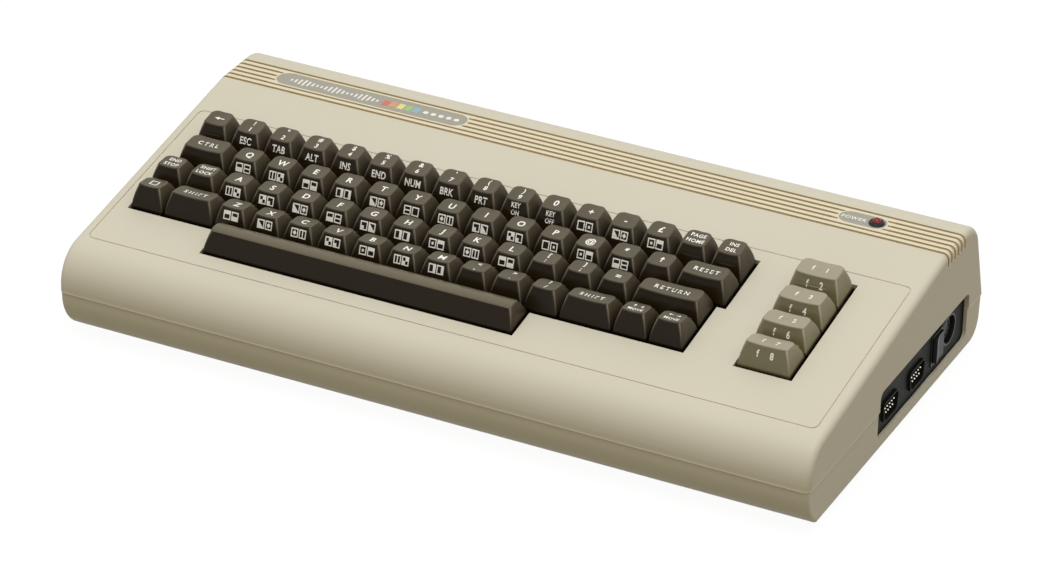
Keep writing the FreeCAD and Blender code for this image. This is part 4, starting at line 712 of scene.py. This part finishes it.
# Edge contacts: hard gold over nickel on both faces of the board's two tongues, one strip to a contact.
# Hard gold is deep yellow, with a clearer reflection than the tinned metal near it.
TONGUES = ((-32 * MM, 6), (-112 * MM, 12))
CONTACT_PITCH = 3.96 * MM
CONTACT_WIDTH = 2.4 * MM
CONTACT_LONG = 7 * MM
CONTACT_THICK = 0.05 * MM
CONTACT_SET_BACK = 0.6 * MM
CONTACT_BEVEL = 0.1 * MM
gold = metal("hard gold plate", "#d9b25c", 0.25, 1.5 * MM)
board_low, board_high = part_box("main_board")
contacts = bmesh.new()
for middle_x, count in TONGUES:
    for place in range(count):
        x = middle_x + (place - (count - 1) / 2) * CONTACT_PITCH
        for z in (board_high.z, board_low.z - CONTACT_THICK):
            rings = []
            for lift, inset in ((0, 0), (CONTACT_THICK * 0.6, 0), (CONTACT_THICK, CONTACT_BEVEL)):
                left, right = x - CONTACT_WIDTH / 2 + inset, x + CONTACT_WIDTH / 2 - inset
                near, far = board_high.y - CONTACT_LONG + inset, board_high.y - CONTACT_SET_BACK - inset
                up = z + lift if z == board_high.z else z + CONTACT_THICK - lift
                rings.append([contacts.verts.new((px, py, up))
                              for px, py in ((left, near), (right, near), (right, far), (left, far))])
            skin_rings(contacts, rings)
            contacts.faces.new(rings[-1])
            contacts.faces.new(list(reversed(rings[0])))
bmesh.ops.recalc_face_normals(contacts, faces=contacts.faces[:])
new_piece("edge_contacts", contacts, [gold], "housing", smooth=False)

# Parts on the board: chips in glass-filled epoxy, grey-black and matt, and capacitors in a shrunk vinyl
# sleeve, smooth enough for a clear light along each one.
chip_black = moulded("moulded epoxy", "#26262a", "#222226", 0.55, 0.3 * MM, 0.01 * MM)
dress(chip_black, "logic_chips")
sleeve = moulded("shrunk vinyl sleeve", "#23304a", "#1f2b44", 0.3, 3 * MM, 0.01 * MM)
dress(sleeve, "capacitors")

# Feet: four soft rubber plugs, matt and a little dusty.
rubber = moulded("moulded rubber", "#2a2927", "#34322f", 0.8, 0.8 * MM, 0.03 * MM, ior=1.52, patch=8 * MM)
dress(rubber, "rubber_feet")

# Name plates: painted aluminium in shallow recesses, printed in white and colours. The matt paint has an
# even, dry sheen, and the screen ink lies a touch rougher on it.
plate = moulded("anodised plate, painted", "#9f9d90", "#9a988b", 0.4, 0.4 * MM, 0.005 * MM)
dress(plate, "name_badge", "power_badge")
PRINT_LIFT = 0.04 * MM
DOT_SIDES = 20
# In millimetres: a frieze of bars whose heights make waves, then five squares of colour, then five dots.
WAVE = (2.2, 3.6, 5.2, 6.6, 5.2, 3.6, 2.2)
BARS, BARS_START, BAR_STEP, BAR_WIDE = 21, -168, 2.5, 1.1
SQUARES_START, DOTS_START, BLOCK_STEP = -113, -90, 4.4
SQUARE_SIZE = (3.6, 5.4)
DOTS, DOT_RADIUS = 5, 1.5
POWER_WORD_PLACE = 147.6 * MM
POWER_WORD = 2.9 * MM
INKS = {"red": "#cf6f5c", "orange": "#d99a62", "yellow": "#e2d987", "green": "#9fbd84", "blue": "#8db4c6"}
plate_low, plate_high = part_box("name_badge")
plate_y = (plate_low.y + plate_high.y) / 2


def print_on_plate(name, shapes, material):
    """Prints flat shapes, given in millimetres from the plate's middle line, a hair above a plate."""
    form = bmesh.new()
    for shape in shapes:
        form.faces.new([form.verts.new((x * MM, plate_y + y * MM, plate_high.z + PRINT_LIFT))
                        for x, y in shape])
    new_piece(name, form, [material], "housing")


def bar_shape(x, wide, tall):
    return box_mark(x - wide / 2, -tall / 2, x + wide / 2, tall / 2)


def dot_shape(x, radius):
    return [(x + radius * math.cos(turn), radius * math.sin(turn))
            for turn in (2 * math.pi * step / DOT_SIDES for step in range(DOT_SIDES))]


ink_white = moulded("screen ink, white", "#efeee6", "#e9e8df", 0.5, 0.4 * MM, 0.003 * MM)
frieze = [bar_shape(BARS_START + BAR_STEP * place, BAR_WIDE, WAVE[place % len(WAVE)])
          for place in range(BARS)]
frieze += [dot_shape(DOTS_START + BLOCK_STEP * place, DOT_RADIUS) for place in range(DOTS)]
print_on_plate("name_badge_frieze", frieze, ink_white)
for place, (colour, shade) in enumerate(INKS.items()):
    ink = moulded(f"screen ink, {colour}", shade, shade, 0.5, 0.4 * MM, 0.003 * MM)
    print_on_plate(f"name_badge_{colour}", [bar_shape(SQUARES_START + BLOCK_STEP * place, *SQUARE_SIZE)], ink)


def on_power_plate(x, y, lift):
    """A point on the power plate, from the middle of its word."""
    return Vector((POWER_WORD_PLACE + x, plate_y + y, plate_high.z + lift))


word = bmesh.new()
lay(word, lettering("POWER", POWER_WORD, 1.2), on_power_plate)
new_piece("power_badge_word", word, [ink_white], "housing")

# Power lamp: a domed lens of clear red acrylic in a black collar. It lets a third of the light through,
# so it looks deep and dark while the lamp is off.
lens, tree = new_material("red acrylic lens")
haze = add(tree, "ShaderNodeTexNoise", {"Vector": add(tree, "ShaderNodeTexCoord").outputs["Object"],
                                        "Scale": 1 / (1.5 * MM)})
red = add(tree, "ShaderNodeMix", {0: haze.outputs["Fac"], 6: linear("#a8140f"), 7: linear("#8e0d0a")},
          data_type="RGBA")
close_material(tree, add(tree, "ShaderNodeBsdfPrincipled", {
    "Base Color": red.outputs[2], "Roughness": 0.12, "IOR": 1.49, "Transmission Weight": 0.35}))
dress(lens, "power_light")

# Stage: a pale floor, a white surround, two soft boxes, and the camera where the photograph was taken from.
FLOOR_HALF = 4
floor_form = bmesh.new()
floor_form.faces.new([floor_form.verts.new((x * FLOOR_HALF, y * FLOOR_HALF, 0))
                      for x, y in ((-1, -1), (1, -1), (1, 1), (-1, 1))])
floor_mesh = bpy.data.meshes.new("floor")
floor_form.to_mesh(floor_mesh)
floor_form.free()
floor = bpy.data.objects.new("floor", floor_mesh)
bpy.context.scene.collection.objects.link(floor)


def seen_directly(tree):
    """One for the rays that show the backdrop: from the camera, off gloss or through glass."""
    path = add(tree, "ShaderNodeLightPath")
    either = add(tree, "ShaderNodeMath", {0: path.outputs["Is Camera Ray"], 1: path.outputs["Is Glossy Ray"]},
                 operation="MAXIMUM")
    return add(tree, "ShaderNodeMath", {0: either.outputs[0], 1: path.outputs["Is Transmission Ray"]},
               operation="MAXIMUM").outputs[0]


# The floor shows white with a faint shadow, and throws only a little warm light back at the object.
FLOOR_GLOW = 0.95
paper, tree = new_material("white paper sweep")
seen = seen_directly(tree)
glow = add(tree, "ShaderNodeMath", {0: seen, 1: FLOOR_GLOW}, operation="MULTIPLY")
shown = add(tree, "ShaderNodeMix", {0: seen, 6: linear("#8f8567"), 7: linear("#4c4c4c")}, data_type="RGBA")
lit = add(tree, "ShaderNodeBsdfDiffuse", {"Color": shown.outputs[2]})
white = add(tree, "ShaderNodeEmission", {"Color": linear("#ffffff"), "Strength": glow.outputs[0]})
close_material(tree, add(tree, "ShaderNodeAddShader", {0: lit.outputs[0], 1: white.outputs[0]}))
floor_mesh.materials.append(paper)

# The sky is brightest overhead and falls off to a dim warm horizon, as under a large softbox.
HORIZON = 0.15
ZENITH = 0.97
world = bpy.data.worlds.new("studio")
world.use_nodes = True
bpy.context.scene.world = world
tree = world.node_tree
tree.nodes.clear()
direction = add(tree, "ShaderNodeSeparateXYZ", {0: add(tree, "ShaderNodeTexCoord").outputs["Generated"]})
level = add(tree, "ShaderNodeMapRange", {"Value": direction.outputs["Z"], "From Min": 0.0, "From Max": 1.0,
                                         "To Min": HORIZON, "To Max": ZENITH})
warmth = add(tree, "ShaderNodeMix", {0: direction.outputs["Z"], 6: linear("#fff0cf"), 7: linear("#ffffff")},
             data_type="RGBA")
around = add(tree, "ShaderNodeBackground", {"Color": warmth.outputs[2], "Strength": level.outputs[0]})
beyond = add(tree, "ShaderNodeBackground", {"Color": linear("#ffffff"), "Strength": 1.0})
surround = add(tree, "ShaderNodeMixShader", {0: seen_directly(tree), 1: around.outputs[0],
                                             2: beyond.outputs[0]})
add(tree, "ShaderNodeOutputWorld", {"Surface": surround.outputs[0]})


def soft_lamp(name, place, aim, size, power, gloss_only=False):
    """Hangs a rectangular softbox and aims it."""
    lamp = bpy.data.lights.new(name, "AREA")
    lamp.shape = "RECTANGLE"
    lamp.size, lamp.size_y = size
    lamp.energy = power
    holder = bpy.data.objects.new(name, lamp)
    holder.location = place
    holder.rotation_euler = (Vector(aim) - Vector(place)).to_track_quat("-Z", "Y").to_euler()
    holder.visible_diffuse = not gloss_only
    bpy.context.scene.collection.objects.link(holder)


# The second box only shows as a gleam along polished edges, and adds no light to the colours.
soft_lamp("softbox", (0.12, -0.4, 1.95), (0, 0, 0), (1.0, 1.0), 14.5)
soft_lamp("edge gleam", (1.45, -1.0, 0.35), (0, 0, 0.05), (0.5, 0.5), 3.0, gloss_only=True)

# The camera's place, turns and lens, in metres, degrees and millimetres, found from the grid of the keys.
CAMERA_AZIMUTH = 26.275
CAMERA_ELEVATION = 29.530
CAMERA_ROLL = 0.858
CAMERA_PLACE = (0.92324, -1.87383, 1.21138)
LENS = 167.66
SENSOR = 36
camera_data = bpy.data.cameras.new("camera")
camera_data.lens = LENS
camera_data.sensor_width = SENSOR
camera_data.sensor_fit = "HORIZONTAL"
camera = bpy.data.objects.new("camera", camera_data)
bpy.context.scene.collection.objects.link(camera)
camera.matrix_world = (
    Matrix.Translation(CAMERA_PLACE) @ Matrix.Rotation(math.radians(CAMERA_AZIMUTH), 4, "Z")
    @ Matrix.Rotation(math.radians(90 - CAMERA_ELEVATION), 4, "X")
    @ Matrix.Rotation(math.radians(CAMERA_ROLL), 4, "Z"))
bpy.context.scene.camera = camera
bpy.context.scene.view_settings.view_transform = "Standard"
